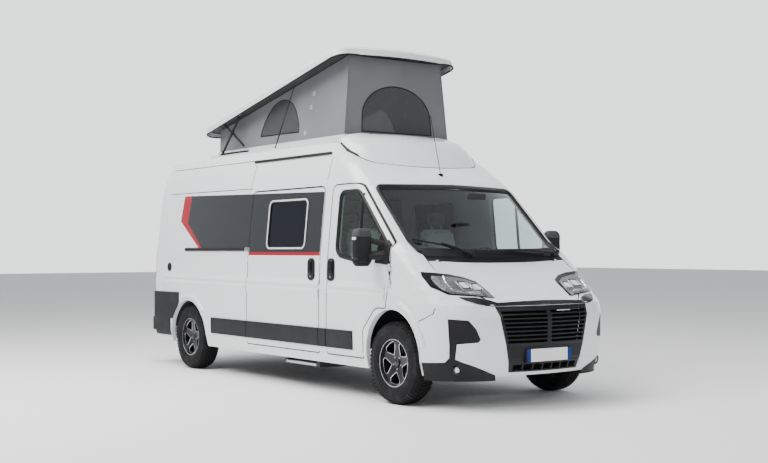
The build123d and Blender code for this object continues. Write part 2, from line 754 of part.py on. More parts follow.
def tyre():
    """Tyre about the X axis, its middle at the origin, many-sided with a flat under the hub."""
    half, r, bead = TYRE_WIDTH / 2, TYRE_RADIUS, RIM_RADIUS + SEAT_GAP
    seat = RIM_WIDTH / 2 - 6
    # x, radius across one side, bore to tread
    flank = ((-seat, bead), (-seat, bead + 12), (-half, bead + 70), (-half + 5, r - 58), (-half + 32, r))
    rings = [ring_corners(x, radius) for x, radius in (*flank, *[(-x, radius) for x, radius in reversed(flank)])]
    faces = []
    for near, far in zip(rings, (*rings[1:], rings[0])):
        for i in range(TYRE_SIDES):
            quad = [near[i - 1], near[i], far[i], far[i - 1]]
            faces.append(Face(Wire.make_polygon(quad, close=True)))
    return Solid(Shell(faces))


def rim(outward):
    """Rim about the X axis with five forked spokes; outward is the sign of X of its face."""
    half = RIM_WIDTH / 2
    barrel_profile = [(-half, 196), (-half, RIM_RADIUS + 12), (-half + 5, RIM_RADIUS + 12), (-half + 5, RIM_RADIUS),
                      (half - 5, RIM_RADIUS), (half - 5, RIM_RADIUS + 12), (half, RIM_RADIUS + 12), (half, 203),
                      (half - 30, 196)]
    barrel = revolve(Face(Wire.make_polygon([Vector(x, 0, z) for x, z in barrel_profile], close=True)),
                     Axis.X, 360)
    disc = x_disc(RIM_FACE - 24, RIM_FACE, 0, 0, 200)
    window = Face(Wire.make_polygon([Vector(0, y, z) for y, z in
                                     ((-20, 88), (-62, 150), (-46, 186), (46, 186), (62, 150), (20, 88))],
                                    close=True))
    window = window.fillet_2d(14, window.vertices())
    cutter = Pos(RIM_FACE - 60, 0, 0) * extrude(window, amount=120, dir=(1, 0, 0))
    for i in range(SPOKES):
        disc = disc - Rot(360 / SPOKES * i, 0, 0) * cutter
    hub = x_disc(-10, RIM_FACE + 6, 0, 0, HUB_RADIUS)
    bore = x_disc(-20, RIM_FACE - 14, 0, 0, STUB_RADIUS + SEAT_GAP)
    wheel = (barrel + disc + hub) - bore
    return wheel if outward > 0 else Rot(0, 180, 0) * wheel


KING_LOW = (845.0, 232.0)
KING_LEAN = 12.0
KING_TOP = 900.0
JOINT_RADIUS = 15.0
JOINT_Z = 237.0
JOINT_LENGTH = 50.0
BEARING_Z = 889.0


def king_x(z):
    """Distance of the steering axis from the van's middle at height z."""
    return KING_LOW[0] - (z - KING_LOW[1]) * sin(radians(KING_LEAN)) / cos(radians(KING_LEAN))


def on_king_axis(side, z, radius, length):
    """Round piece on the steering axis, its middle at height z."""
    return Pos(side * king_x(z), AXLE_FRONT, z) * Rot(0, -side * KING_LEAN, 0) * Cylinder(radius, length)


def knuckle(side):
    """Steering knuckle: upright, stub axle, strut and steering arm."""
    hub_x = TRACK_FRONT / 2
    upright = box(sorted((side * 800, side * 850)), (AXLE_FRONT - 45, AXLE_FRONT + 45), (248, TYRE_RADIUS + 95))
    stub = x_disc(side * 840, side * (hub_x + RIM_FACE - 22), AXLE_FRONT, TYRE_RADIUS, STUB_RADIUS)
    flange = x_disc(side * 845, side * (hub_x - 12), AXLE_FRONT, TYRE_RADIUS, 60)
    pin = on_king_axis(side, JOINT_Z, JOINT_RADIUS, JOINT_LENGTH)
    clamp = box(sorted((side * 725, side * 812)), (AXLE_FRONT - 32, AXLE_FRONT + 32),
                (TYRE_RADIUS + 60, TYRE_RADIUS + 105))
    strut = rod((side * 748, AXLE_FRONT, TYRE_RADIUS + 62), (side * king_x(BEARING_Z), AXLE_FRONT, BEARING_Z), 27)
    bearing = on_king_axis(side, BEARING_Z, 38, 8)
    return joined(upright, stub, flange, pin, clamp, strut, bearing)


def front_subframe():
    """Cross beam with lower arms and strut towers."""
    beam = box((-560, 560), (AXLE_FRONT + 60, AXLE_FRONT + 260), (280, 400 - SEAT_GAP))
    parts = [beam]
    top_x = king_x(KING_TOP)
    for side in (LEFT, RIGHT):
        face = Face(Wire.make_polygon([Vector(side * x, AXLE_FRONT + y, 205) for x, y in
                                       ((500, -160), (640, -60), (700, -24), (870, -24), (870, 24), (700, 24),
                                        (640, 60), (500, 250))], close=True))
        arm = extrude(face, amount=24.7, dir=(0, 0, 1))
        parts.append(arm - on_king_axis(side, JOINT_Z, JOINT_RADIUS + SEAT_GAP, 3 * JOINT_LENGTH))
        leg = box(sorted((side * 500, side * 560)), (AXLE_FRONT + 60, AXLE_FRONT + 150), (205, 300))
        tower = box(sorted((side * (top_x - 90), side * (top_x + 60))), (AXLE_FRONT - 70, AXLE_FRONT + 55),
                    (906, 960))
        post = box(sorted((side * (top_x - 90), side * (top_x - 60))), (AXLE_FRONT - 70, AXLE_FRONT + 55),
                   (300, 910))
        foot = box(sorted((side * 520, side * (top_x - 60))), (AXLE_FRONT - 20, AXLE_FRONT + 80), (300, 372))
        parts += [leg, tower, post, foot]
    return joined(*parts)


def rear_axle():
    """Beam axle with stub ends and leaf springs."""
    hub_x = TRACK_REAR / 2
    beam = x_disc(-(hub_x - 60), hub_x - 60, AXLE_REAR, TYRE_RADIUS - 20, 45)
    parts = [beam]
    for side in (LEFT, RIGHT):
        parts.append(x_disc(side * (hub_x - 62), side * (hub_x + RIM_FACE - 22), AXLE_REAR, TYRE_RADIUS,
                            STUB_RADIUS))
        parts.append(x_disc(side * (hub_x - 75), side * (hub_x - 12), AXLE_REAR, TYRE_RADIUS, 70))
        spring = bar((side * 560, AXLE_REAR - 700, 400), (side * 560, AXLE_REAR, 322), 60, 22)
        spring += bar((side * 560, AXLE_REAR, 322), (side * 560, AXLE_REAR + 700, 400), 60, 22)
        parts.append(spring)
        for y in (AXLE_REAR - 690, AXLE_REAR + 690):
            parts.append(box(sorted((side * 525, side * 595)), (y - 25, y + 25), (395, 469.7)))
    return joined(*parts)


# ---------------------------------------------------------------- keep the body
for side, name in ((RIGHT, "right"), (LEFT, "left")):
    wing_solid = wing(side) - cab_pockets(side)
    keep(f"wing_{name}", joined(wing_solid, *cab_hinge_bodies(side)))
    panel = side_panel(side)
    halves = [rear_hinge_halves(side, z)[0] for z in REAR_HINGES]
    keep(f"side_panel_{name}", joined(panel, *halves))
    keep(f"cab_door_{name}", cab_door(side))
    keep(f"cab_glass_{name}", window_pane(cab_window_face, side))
    keep(f"rear_door_{name}", rear_door(side))
    shrunk = Face(rear_window_face.outer_wire().offset_2d(-SEAT_GAP))
    keep(f"rear_glass_{name}", glass_skin & rear_prism(shrunk, side))
keep("roof_panel", roof_panel())
keep("screen_frame", screen_frame())
keep("front_bumper", bumper())
keep("windscreen", glass_skin & screen_opening(SEAT_GAP))
hood_halves = [hood_hinge(side) for side in (LEFT, RIGHT)]
hood_pockets = joined(*[x_disc(side * 666, side * 734, HOOD_HINGE_Y, HOOD_HINGE_Z, 11) for side in (LEFT, RIGHT)])
keep("scuttle", joined((shell & scuttle_region) - hood_pockets, *[halves[0] for halves in hood_halves]))
keep("bonnet", joined(bonnet() - hood_pockets, *[halves[1] for halves in hood_halves]))
slide_leaf = shell & side_prism(shrink(slide_door_face, SEAT_GAP), RIGHT)
keep("sliding_door", slide_leaf - side_prism(side_window_face, RIGHT))
keep("side_glass", joined(window_pane(side_window_face, RIGHT), window_pane(side_window_face, LEFT)))

TUNNEL_HALF = 590.0
cabin = body_form(WALL + 8)
lining = body_form(WALL + SEAT_GAP)
arches = [rear_arch(LEFT, 8) - rear_arch(LEFT), rear_arch(RIGHT, 8) - rear_arch(RIGHT)]
liner_space = lining & box((-1100, 1100), (AXLE_REAR - 600, AXLE_REAR + 600), (FLOOR_TOP - FLOOR_THICK, 1000))
keep("rear_arches", joined(*arches) & liner_space)
floor = lining & box((-1100, 1100), (-1964, TAIL), (FLOOR_TOP - FLOOR_THICK, FLOOR_TOP))
for side in (LEFT, RIGHT):
    floor = floor - rear_arch(side, 8 + SEAT_GAP)
    floor = floor - box(sorted((side * TUNNEL_HALF, side * 1100)), (-2500, AXLE_FRONT + ARCH_FRONT_RADIUS + 14), (100, 900))
keep("floor_pan", floor)
bulkhead = cabin & box((-1100, 1100), (-1990, -1965), (FLOOR_TOP - FLOOR_THICK, 1290))
for side in (LEFT, RIGHT):
    bulkhead = bulkhead - box(sorted((side * TUNNEL_HALF, side * 1100)), (-2500, -1900), (100, 860))
keep("bulkhead", bulkhead)
engine = box((-330, 330), (-2740, -2230), (440, 860))
for side in (LEFT, RIGHT):
    engine += box(sorted((side * 320, side * 480)), (-2560, -2450), (470, 515))
keep("engine_block", engine)
keep("front_subframe", front_subframe())
keep("rear_axle", rear_axle())

# front details
FRAME_EDGE = 26.0
POST_HALF = 24.0
SLAT_PITCH = 36.0
SLAT_OPEN = 23.0
INTAKE_POSTS = 6


def grille():
    """Black face of the bumper: slats on both sides of a post, the plate panel and the lower intake."""
    plate = shell & front_prism(GRILLE, inset=SEAT_GAP)
    lean = (540 - 455) / (GRILLE_HIGH - PLATE_HIGH)
    depth = (NOSE - 50, -2700)
    z = PLATE_HIGH + FRAME_EDGE
    while z + SLAT_OPEN < GRILLE_HIGH - FRAME_EDGE:
        half = 455 + lean * (z - PLATE_HIGH) - FRAME_EDGE
        plate = plate - box((POST_HALF, half), depth, (z, z + SLAT_OPEN))
        plate = plate - box((-half, -POST_HALF), depth, (z, z + SLAT_OPEN))
        z += SLAT_PITCH
    intake = 402 - FRAME_EDGE
    pitch = 2 * intake / (INTAKE_POSTS + 1)
    for i in range(INTAKE_POSTS + 1):
        x = -intake + pitch * i
        plate = plate - box((x + 7, x + pitch - 7), depth, (GRILLE_LOW + 14, PLATE_LOW - 14))
    return plate


def corner_insert(side):
    """Black insert of one bumper corner, its skirt reaching below the painted bumper."""
    band = body_form(INSERT_DEPTH) - body_form(INSERT_DEPTH + INSERT_THICK)
    low, *rest = SECTIONS[0]
    ring = [Face(outline(SKIRT_LOW, *rest, inset)) for inset in (INSERT_DEPTH, INSERT_DEPTH + INSERT_THICK)]
    lip = extrude(ring[0] - ring[1], amount=low - SKIRT_LOW, dir=(0, 0, 1))
    space = front_prism([(side * x, z) for x, z in INSERT], inset=SEAT_GAP) & bumper_region()
    return joined(band, lip) & space


keep("grille", grille())
keep("bumper_inserts", joined(corner_insert(LEFT), corner_insert(RIGHT)))
lamp_skin = body_form(3) - body_form(60)
keep("headlamps", joined(*[lamp_skin & front_prism([(s * x, z) for x, z in LAMP_OUTLINE], LAMP_DEPTH, LAMP_SEAT)
                           for s in (LEFT, RIGHT)]))

keep("roof_shell", roof_shell())
keep("lift_arms", joined(*arm_pair(ARM_BASE, ARM_TOP, ARM_X, 26, 12)))
keep("stay_arms", joined(*arm_pair(STAY_BASE, STAY_TOP, ARM_X - 11 - SEAT_GAP, 22, 10)))
keep("lift_rails", joined(*base_rails()))
keep("deck_frame", deck_frame())
keep("fairing", fairing())
keep("tent", tent())

for corner, x, y in (("front_right", -TRACK_FRONT / 2, AXLE_FRONT), ("front_left", TRACK_FRONT / 2, AXLE_FRONT),
                     ("rear_right", -TRACK_REAR / 2, AXLE_REAR), ("rear_left", TRACK_REAR / 2, AXLE_REAR)):
    place = Pos(x, y, TYRE_RADIUS)
    keep(f"tyre_{corner}", place * tyre())
    keep(f"rim_{corner}", place * rim(x))
for side, name in ((RIGHT, "right"), (LEFT, "left")):
    keep(f"knuckle_{name}", knuckle(side))

# ---------------------------------------------------------------- trim, lamps and bumpers
MOULD_THICK = 12.0
MOULD_LOW = 445.0
MOULD_HIGH = 620.0
SLIDE_RAIL_Z = 1380.0
AWNING_RAIL = (-830.0, 700.0)
raised_skin = body_form(-MOULD_THICK) - body_form(-SEAT_GAP)


def moulding(side, y0, y1, low=MOULD_LOW, high=MOULD_HIGH):
    """Plastic strip along the side, its ends cut square."""
    return raised_skin & box(sorted((side * 600, side * 1100)), (y0, y1), (low, high))


strips = []
for side in (LEFT, RIGHT):
    strips.append(moulding(side, SLIDE_REAR + 4, 1395))
    strips.append(moulding(side, SLIDE_FRONT + 4, SLIDE_REAR - 4))
    strips.append(moulding(side, CAB_REAR + 6, SLIDE_FRONT - 4))
strips.append(moulding(RIGHT, SLIDE_REAR + 8, 2100, SLIDE_RAIL_Z - 13, SLIDE_RAIL_Z + 13))
strips.append(moulding(RIGHT, *AWNING_RAIL, 2312, 2332))
keep("side_mouldings", joined(*strips))
keep("tail_lamps", joined(*[(body_form(-3) - body_form(30)) & tail_lamp_space(side, SEAT_GAP)
                            for side in (LEFT, RIGHT)]))


def rear_bumper():
    """Step across the tail with corner caps that wrap round to the wheel arches."""
    half = BODY_HALF + 8
    ring = Face(outline(410, NOSE + 22, 565, 80, 590, half, TAIL, 0))
    bar = extrude(ring, amount=155, dir=(0, 0, 1)) & box((-1100, 1100), (2450, TAIL + 1), (400, 600))
    bar = bar - body_form(-SEAT_GAP)
    caps = raised_skin & box((-1100, 1100), (2215, TAIL), (564, 878))
    caps = caps - box((-REAR_DOOR_HALF - 12, REAR_DOOR_HALF + 12), (2000, TAIL + 9), (500, 1000))
    caps = caps - rear_arch(LEFT, 6) - rear_arch(RIGHT, 6)
    return bar + caps


keep("rear_bumper", rear_bumper())


MIRROR_PLACE = (1165.0, -1795.0)
MIRROR_SECTIONS = (
    # z, width, depth
    (1226, 128, 62), (1256, 172, 90), (1400, 182, 98), (1505, 174, 96), (1546, 146, 78), (1562, 92, 46),
)


def mirror_head(side):
    """Tall door mirror on its two arms."""
    rings = [Pos(side * MIRROR_PLACE[0], MIRROR_PLACE[1], z) * RectangleRounded(width, depth, depth * 0.4).wire()
             for z, width, depth in MIRROR_SECTIONS]
    head = Solid.make_loft(rings, ruled=True)
    arm = rod((side * 995, -1925, 1345), (side * 1110, -1800, 1330), 26)
    arm2 = rod((side * 985, -1905, 1420), (side * 1110, -1800, 1460), 20)
    return joined(head, arm, arm2) - body_form(-SEAT_GAP)


for side, name in ((RIGHT, "right"), (LEFT, "left")):
    foot = (body_form(-14) - body_form(-SEAT_GAP)) & side_prism(
        side_face([(-1990, 1295), (-1960, 1445), (-1850, 1500), (-1800, 1300)]), side)
    strip = moulding(side, -1436, CAB_REAR - 8)
    keep(f"door_trim_{name}", joined(mirror_head(side), foot, strip))

# ---------------------------------------------------------------- inside
DASH_FRONT = -1965.0 + SEAT_GAP
dash_profile = side_face([(DASH_FRONT, 1285), (-1900, 1300), (-1720, 1265), (-1655, 1180), (-1660, 1080),
                          (-1740, 880), (-1800, 860), (DASH_FRONT, 860)])
dashboard = cabin & (Pos(-1000, 0, 0) * extrude(dash_profile, amount=2000, dir=(1, 0, 0)))
WHEEL_X = 455.0
wheel_place = Pos(WHEEL_X, -1500, 1235) * Rot(-55, 0, 0)
grip = Face(Wire.make_polygon([Vector(185 + 15 * cos(radians(t)), 0, 15 * sin(radians(t)))
                               for t in range(30, 390, 60)], close=True))
steering = wheel_place * revolve(grip, Axis.Z, 360)
steering += wheel_place * Box(350, 50, 16)
steering += wheel_place * Cylinder(60, 40)
steering += wheel_place * (Pos(0, 0, -130) * Cylinder(32, 240))
keep("steering_wheel", steering)
keep("dashboard", dashboard - wheel_place * (Pos(0, 0, -150) * Cylinder(32 + SEAT_GAP, 240 + 40 + SEAT_GAP)))
SEAT_X = 455.0
seat_bases, seat_pads = [], []
for side in (LEFT, RIGHT):
    seat_bases.append(box((side * SEAT_X - 200, side * SEAT_X + 200), (-1300, -900), (FLOOR_TOP + SEAT_GAP, 940)))
    cushion = Pos(side * SEAT_X, -1110, 1010) * Box(490, 500, 139)
    back = Pos(side * SEAT_X, -850, 1300) * Rot(-8, 0, 0) * Box(480, 120, 620)
    head = Pos(side * SEAT_X, -800, 1690) * Rot(-8, 0, 0) * Box(270, 100, 180)
    seat_pads.append(joined(cushion, back, head))
keep("seat_bases", joined(*seat_bases))
keep("cab_seats", joined(*seat_pads))
kitchen = lining & box((-1100, -500), (SLIDE_REAR + 30, 1440), (FLOOR_TOP + SEAT_GAP, 1460))
wardrobe = lining & box((520, 1100), (420, 1440), (FLOOR_TOP + SEAT_GAP, 1950))
bench = lining & box((330, 1100), (-420, 160), (FLOOR_TOP + SEAT_GAP, 1010))
table_top = lining & box((380, 1100), (-720, -440), (1235, 1265))
bed_base = lining & box((-1100, 1100), (1480, 2860), (1090, 1140))
keep("furniture", joined(kitchen, wardrobe, bench, table_top, bed_base))

# ---------------------------------------------------------------- underneath
STEP_Y = (-760.0, -200.0)
STEP_X = (-1000.0, -640.0)
guides = [box((-985, -560), (STEP_Y[0] - 46, STEP_Y[0] - SEAT_GAP), (228, 284)),
          box((-985, -560), (STEP_Y[1] + SEAT_GAP, STEP_Y[1] + 46), (228, 284))]
for y in (STEP_Y[0] - 46, STEP_Y[1] + 6):
    guides.append(box((-920, -860), (y, y + 40), (284, 469.7)))
    guides.append(box((-640, -580), (y, y + 40), (284, 469.7)))
rails = [box(sorted((side * 430, side * 510)), (-2780, 2860), (400, 469.7)) for side in (LEFT, RIGHT)]
JACK_PADS = (-1250.0, 1100.0)
PAD_DEPTH = 12.0
pads = [box((side * 470 - 30, side * 470 + 30), (y - 45, y + 45), (400 - PAD_DEPTH, 402))
        for side in (LEFT, RIGHT) for y in JACK_PADS]
keep("chassis_rails", joined(*rails, *guides, *pads))
keep("side_step", box(STEP_X, STEP_Y, (240, 264)))
keep("aerial", joined(rod((0, -1462, 2105), (0, -1300, 2700), 3.5), Pos(0, -1462, 2100) * Cylinder(24, 36)) - roof_surface)

for name, shape in NODES.items():
    export_step(shape, f"parts/{name}.step")
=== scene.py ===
"""Dresses the camper van: paint, plastics, glass, lamps, wheels, canvas and the cab inside.

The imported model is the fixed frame; every piece made here rides on one of its bodies.
Metres throughout, with the frame's own axes: nose along -Y, the van's left +X, up +Z.
"""
from __future__ import annotations
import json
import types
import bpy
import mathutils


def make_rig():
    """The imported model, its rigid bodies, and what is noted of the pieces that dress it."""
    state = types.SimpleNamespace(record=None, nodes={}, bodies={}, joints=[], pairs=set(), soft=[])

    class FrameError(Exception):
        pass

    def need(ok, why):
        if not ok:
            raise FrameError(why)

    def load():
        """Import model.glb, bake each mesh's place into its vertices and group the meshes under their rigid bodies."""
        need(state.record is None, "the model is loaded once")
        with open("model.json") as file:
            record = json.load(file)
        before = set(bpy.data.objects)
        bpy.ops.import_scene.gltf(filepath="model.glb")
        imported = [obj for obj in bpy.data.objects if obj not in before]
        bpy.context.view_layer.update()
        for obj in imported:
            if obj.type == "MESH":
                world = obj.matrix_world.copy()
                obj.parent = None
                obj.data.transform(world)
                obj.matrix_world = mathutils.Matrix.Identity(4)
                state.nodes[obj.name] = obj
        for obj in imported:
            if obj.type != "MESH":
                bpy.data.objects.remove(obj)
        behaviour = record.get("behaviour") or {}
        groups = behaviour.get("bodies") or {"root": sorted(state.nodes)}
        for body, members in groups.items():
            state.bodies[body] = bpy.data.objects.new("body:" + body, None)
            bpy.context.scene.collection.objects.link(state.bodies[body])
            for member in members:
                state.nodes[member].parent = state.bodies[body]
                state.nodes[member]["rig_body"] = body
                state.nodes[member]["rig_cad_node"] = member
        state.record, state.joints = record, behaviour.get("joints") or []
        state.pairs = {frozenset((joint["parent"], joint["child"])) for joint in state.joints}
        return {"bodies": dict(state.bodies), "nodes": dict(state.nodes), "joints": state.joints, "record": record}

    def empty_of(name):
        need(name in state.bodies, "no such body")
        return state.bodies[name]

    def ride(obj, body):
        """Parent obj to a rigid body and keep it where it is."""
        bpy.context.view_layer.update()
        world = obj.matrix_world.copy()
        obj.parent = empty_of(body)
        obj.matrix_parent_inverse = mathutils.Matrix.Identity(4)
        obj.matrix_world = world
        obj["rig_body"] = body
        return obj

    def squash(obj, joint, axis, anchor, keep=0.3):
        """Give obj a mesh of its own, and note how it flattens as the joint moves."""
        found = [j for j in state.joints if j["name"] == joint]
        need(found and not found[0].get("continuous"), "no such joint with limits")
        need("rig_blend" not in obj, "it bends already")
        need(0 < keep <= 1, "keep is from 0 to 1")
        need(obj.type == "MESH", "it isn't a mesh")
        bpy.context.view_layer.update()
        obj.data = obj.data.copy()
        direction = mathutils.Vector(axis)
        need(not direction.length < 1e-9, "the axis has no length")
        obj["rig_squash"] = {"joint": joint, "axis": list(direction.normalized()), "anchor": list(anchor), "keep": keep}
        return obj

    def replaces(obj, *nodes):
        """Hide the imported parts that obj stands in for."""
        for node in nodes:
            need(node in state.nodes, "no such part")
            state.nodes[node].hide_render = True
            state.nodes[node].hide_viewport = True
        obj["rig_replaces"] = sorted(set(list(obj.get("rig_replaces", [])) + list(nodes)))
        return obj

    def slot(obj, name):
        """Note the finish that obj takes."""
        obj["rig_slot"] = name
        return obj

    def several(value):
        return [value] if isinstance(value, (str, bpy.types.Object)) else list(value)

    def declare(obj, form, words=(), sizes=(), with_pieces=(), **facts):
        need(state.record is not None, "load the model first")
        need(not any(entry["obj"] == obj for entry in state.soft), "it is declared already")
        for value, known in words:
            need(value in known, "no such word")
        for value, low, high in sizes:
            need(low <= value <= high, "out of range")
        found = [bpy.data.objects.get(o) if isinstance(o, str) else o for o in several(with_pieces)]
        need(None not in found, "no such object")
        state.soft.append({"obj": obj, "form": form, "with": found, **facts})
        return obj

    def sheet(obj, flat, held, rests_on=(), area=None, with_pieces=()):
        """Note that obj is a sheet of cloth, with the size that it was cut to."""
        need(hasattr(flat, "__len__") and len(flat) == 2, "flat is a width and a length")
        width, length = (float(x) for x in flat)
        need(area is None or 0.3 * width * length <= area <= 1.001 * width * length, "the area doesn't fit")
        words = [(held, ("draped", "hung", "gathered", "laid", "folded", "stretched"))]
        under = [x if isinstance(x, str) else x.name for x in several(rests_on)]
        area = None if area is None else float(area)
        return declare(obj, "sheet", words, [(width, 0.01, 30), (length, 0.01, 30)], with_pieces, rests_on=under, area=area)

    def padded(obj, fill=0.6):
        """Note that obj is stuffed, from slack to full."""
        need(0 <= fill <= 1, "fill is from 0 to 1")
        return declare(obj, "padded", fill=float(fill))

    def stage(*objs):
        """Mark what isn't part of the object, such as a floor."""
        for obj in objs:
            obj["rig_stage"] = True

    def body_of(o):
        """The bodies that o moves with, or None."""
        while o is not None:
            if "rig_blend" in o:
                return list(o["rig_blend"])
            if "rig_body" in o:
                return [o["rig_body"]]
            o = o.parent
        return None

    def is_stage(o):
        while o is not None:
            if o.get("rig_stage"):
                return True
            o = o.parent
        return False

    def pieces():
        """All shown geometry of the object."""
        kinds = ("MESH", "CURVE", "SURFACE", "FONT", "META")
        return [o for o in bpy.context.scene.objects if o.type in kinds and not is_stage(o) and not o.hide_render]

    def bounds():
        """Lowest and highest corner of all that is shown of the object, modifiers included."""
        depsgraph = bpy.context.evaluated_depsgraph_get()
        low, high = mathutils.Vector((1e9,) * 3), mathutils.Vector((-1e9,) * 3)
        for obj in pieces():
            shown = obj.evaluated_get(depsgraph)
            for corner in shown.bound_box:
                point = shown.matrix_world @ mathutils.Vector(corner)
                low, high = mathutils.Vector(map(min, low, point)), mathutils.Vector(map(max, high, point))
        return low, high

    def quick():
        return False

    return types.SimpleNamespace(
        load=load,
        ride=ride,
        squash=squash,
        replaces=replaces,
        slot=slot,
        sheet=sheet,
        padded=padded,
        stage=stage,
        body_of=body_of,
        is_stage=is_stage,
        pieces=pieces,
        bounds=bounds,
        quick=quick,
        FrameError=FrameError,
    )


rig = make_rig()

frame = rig.load()

import json
import logging
import math
from contextlib import contextmanager
from dataclasses import dataclass, field
from enum import Enum
from typing import Callable, Iterable, Iterator, Sequence

import bmesh
import bpy
from bpy.types import ID, Material, Mesh, Node, NodeSocket, NodeTree, Object
from mathutils import Matrix, Vector
from mathutils.bvhtree import BVHTree
from mathutils.geometry import delaunay_2d_cdt

LOG = logging.getLogger("camper")
SIZE_FILE = "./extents.json"
VAN = "van_body"
SHARP_ANGLE = 35.0
FLAT_ANGLE = 0.2
MERGE_DISTANCE = 1e-5
# Share of the spacing that a plate's inner points keep from its edges.
EDGE_CLEARANCE = 0.35
Point = Sequence[float]
Vec2 = tuple[float, float]
Corner = tuple[float, float, float]
Line = tuple[Vec2, ...]
Corners = tuple[Corner, ...]
Faces = list[tuple[int, ...]]


class Side(Enum):
    """The two sides of the van, as the sign of X."""

    LEFT = 1
    RIGHT = -1

    @property
    def word(self) -> str:
        """Lower-case name used in node names."""
        return self.name.lower()


# ---- shader building
def math_method(operation: str, swapped: bool = False) -> Callable[..., "Expr"]:
    """Make the method of Expr that adds one Math node.

    Args:
        operation: The node's operation.
        swapped: Whether the value that the method belongs to comes last.

    Returns:
        The method.
    """
    def method(self: "Expr", *others: object) -> "Expr":
        """Add the node and return its result."""
        values = (*others, self) if swapped else (self, *others)
        node = self.kit.node("ShaderNodeMath", {"operation": operation}, dict(enumerate(values)))
        return Expr(self.kit, node.outputs[0])
    return method


class Expr:
    """A socket of a material that does sums written as Python expressions."""

    def __init__(self, kit: "Shader", socket: NodeSocket) -> None:
        """Wrap one output socket of the material being built."""
        self.kit = kit
        self.socket = socket

    __add__ = __radd__ = math_method("ADD")
    __sub__ = math_method("SUBTRACT")
    __rsub__ = math_method("SUBTRACT", swapped=True)
    __mul__ = __rmul__ = math_method("MULTIPLY")
    __gt__ = math_method("GREATER_THAN")
    abs, sine = math_method("ABSOLUTE"), math_method("SINE")
    least, most = math_method("MINIMUM"), math_method("MAXIMUM")

    def step(self, low: float, high: float) -> "Expr":
        """Smooth rise from 0 to 1.

        Args:
            low: Value that gives 0.
            high: Value that gives 1.

        Returns:
            The result.
        """
        node = self.kit.node("ShaderNodeMapRange", {"interpolation_type": "SMOOTHSTEP"},
                             {"Value": self, "From Min": low, "From Max": high})
        return Expr(self.kit, node.outputs[0])


class NodeKit:
    """Adds nodes to a tree."""

    def __init__(self, tree: NodeTree) -> None:
        """Work on one tree."""
        self.tree = tree

    def node(self, kind: str, settings: dict | None = None, inputs: dict | None = None) -> Node:
        """Add a node: its settings first, then the values or links of its sockets.

        Args:
            kind: Blender's node type.
            settings: Attributes, such as operation.
            inputs: Socket name or index to a value, socket or Expr.

        Returns:
            The new node.
        """
        made = self.tree.nodes.new(kind)
        for key, value in (settings or {}).items():
            setattr(made, key, value)
        for key, value in (inputs or {}).items():
            self.feed(made.inputs[key], value)
        return made

    def feed(self, socket: NodeSocket, value: object) -> None:
        """Set or link one input.

        Args:
            socket: The input.
            value: A number, tuple, data block, socket or Expr.
        """
        value = value.socket if isinstance(value, Expr) else value
        if isinstance(value, NodeSocket):
            self.tree.links.new(value, socket)
        elif socket.type == "RGBA" and len(value) == 3:
            socket.default_value = (*value, 1.0)
        else:
            socket.default_value = value


class Shader(NodeKit):
    """Builds one procedural material on Object coordinates."""

    def __init__(self, name: str) -> None:
        """Start a material that holds only its shader and output.

        Args:
            name: Its name.
        """
        self.material = bpy.data.materials.new(name)
        self.material.use_nodes = True
        super().__init__(self.material.node_tree)
        self.surface = self.tree.nodes["Principled BSDF"]
        self.object_space = self.node("ShaderNodeTexCoord").outputs["Object"]

    def set(self, **inputs: object) -> None:
        """Fill the shader's sockets; words are joined by underscores."""
        for name, value in inputs.items():
            self.feed(self.surface.inputs[name.replace("_", " ")], value)

    def axes(self) -> tuple[Expr, Expr, Expr]:
        """X, Y and Z of the Object coordinates.

        Returns:
            The three coordinates.
        """
        split = self.node("ShaderNodeSeparateXYZ", {}, {0: self.object_space})
        x, y, z = (Expr(self, out) for out in split.outputs)
        return x, y, z

    def noise(self, scale: float, detail: float = 2.0, vector: object = None) -> Expr:
        """Noise from 0 to 1.

        Args:
            scale: Repeats per metre.
            detail: Octaves.
            vector: Where it is read, or the Object coordinates.

        Returns:
            The noise.
        """
        node = self.node("ShaderNodeTexNoise", {}, {
            "Vector": self.object_space if vector is None else vector, "Scale": scale, "Detail": detail})
        return Expr(self, node.outputs[0])

    def stretched(self, scale: Point) -> NodeSocket:
        """Object coordinates stretched by scale."""
        return self.node("ShaderNodeMapping", {}, {"Vector": self.object_space,
                                                   "Scale": tuple(scale)}).outputs[0]

    def mix(self, share: object, a: object, b: object) -> NodeSocket:
        """Blend two colours; a share of 0 gives a, and 1 gives b."""
        node = self.node("ShaderNodeMix", {"data_type": "RGBA"}, {0: share, 6: a, 7: b})
        return node.outputs[2]

    def bump(self, height: object, strength: float, distance: float) -> None:
        """Feed Normal from a height of 0 to 1, where 1 stands for the distance in metres."""
        node = self.node("ShaderNodeBump", {}, {"Height": height, "Strength": strength, "Distance": distance})
        self.set(Normal=node.outputs[0])


# ---- finishes
@dataclass(frozen=True)
class Finish:
    """One surface finish; the record's slot is named with it."""

    name: str
    slot: str
    colour: tuple[float, float, float] = (0.5, 0.5, 0.5)
    roughness: float = 0.5

    def material(self) -> Material:
        """The material, made once.

        Returns:
            The material.
        """
        found = bpy.data.materials.get(self.name)
        if found:
            return found
        shader = Shader(self.name)
        self.build(shader)
        return shader.material

    def build(self, shader: Shader) -> None:
        """Lay out the material's nodes."""
        raise NotImplementedError

    def shaded(self, shader: Shader, share: object, times: float, plus: float = 0.0) -> NodeSocket:
        """The finish's colour, blended by a share from 0 to 1 towards its multiple plus a constant."""
        return shader.mix(share, self.colour, tuple(min(1.0, c * times + plus) for c in self.colour))


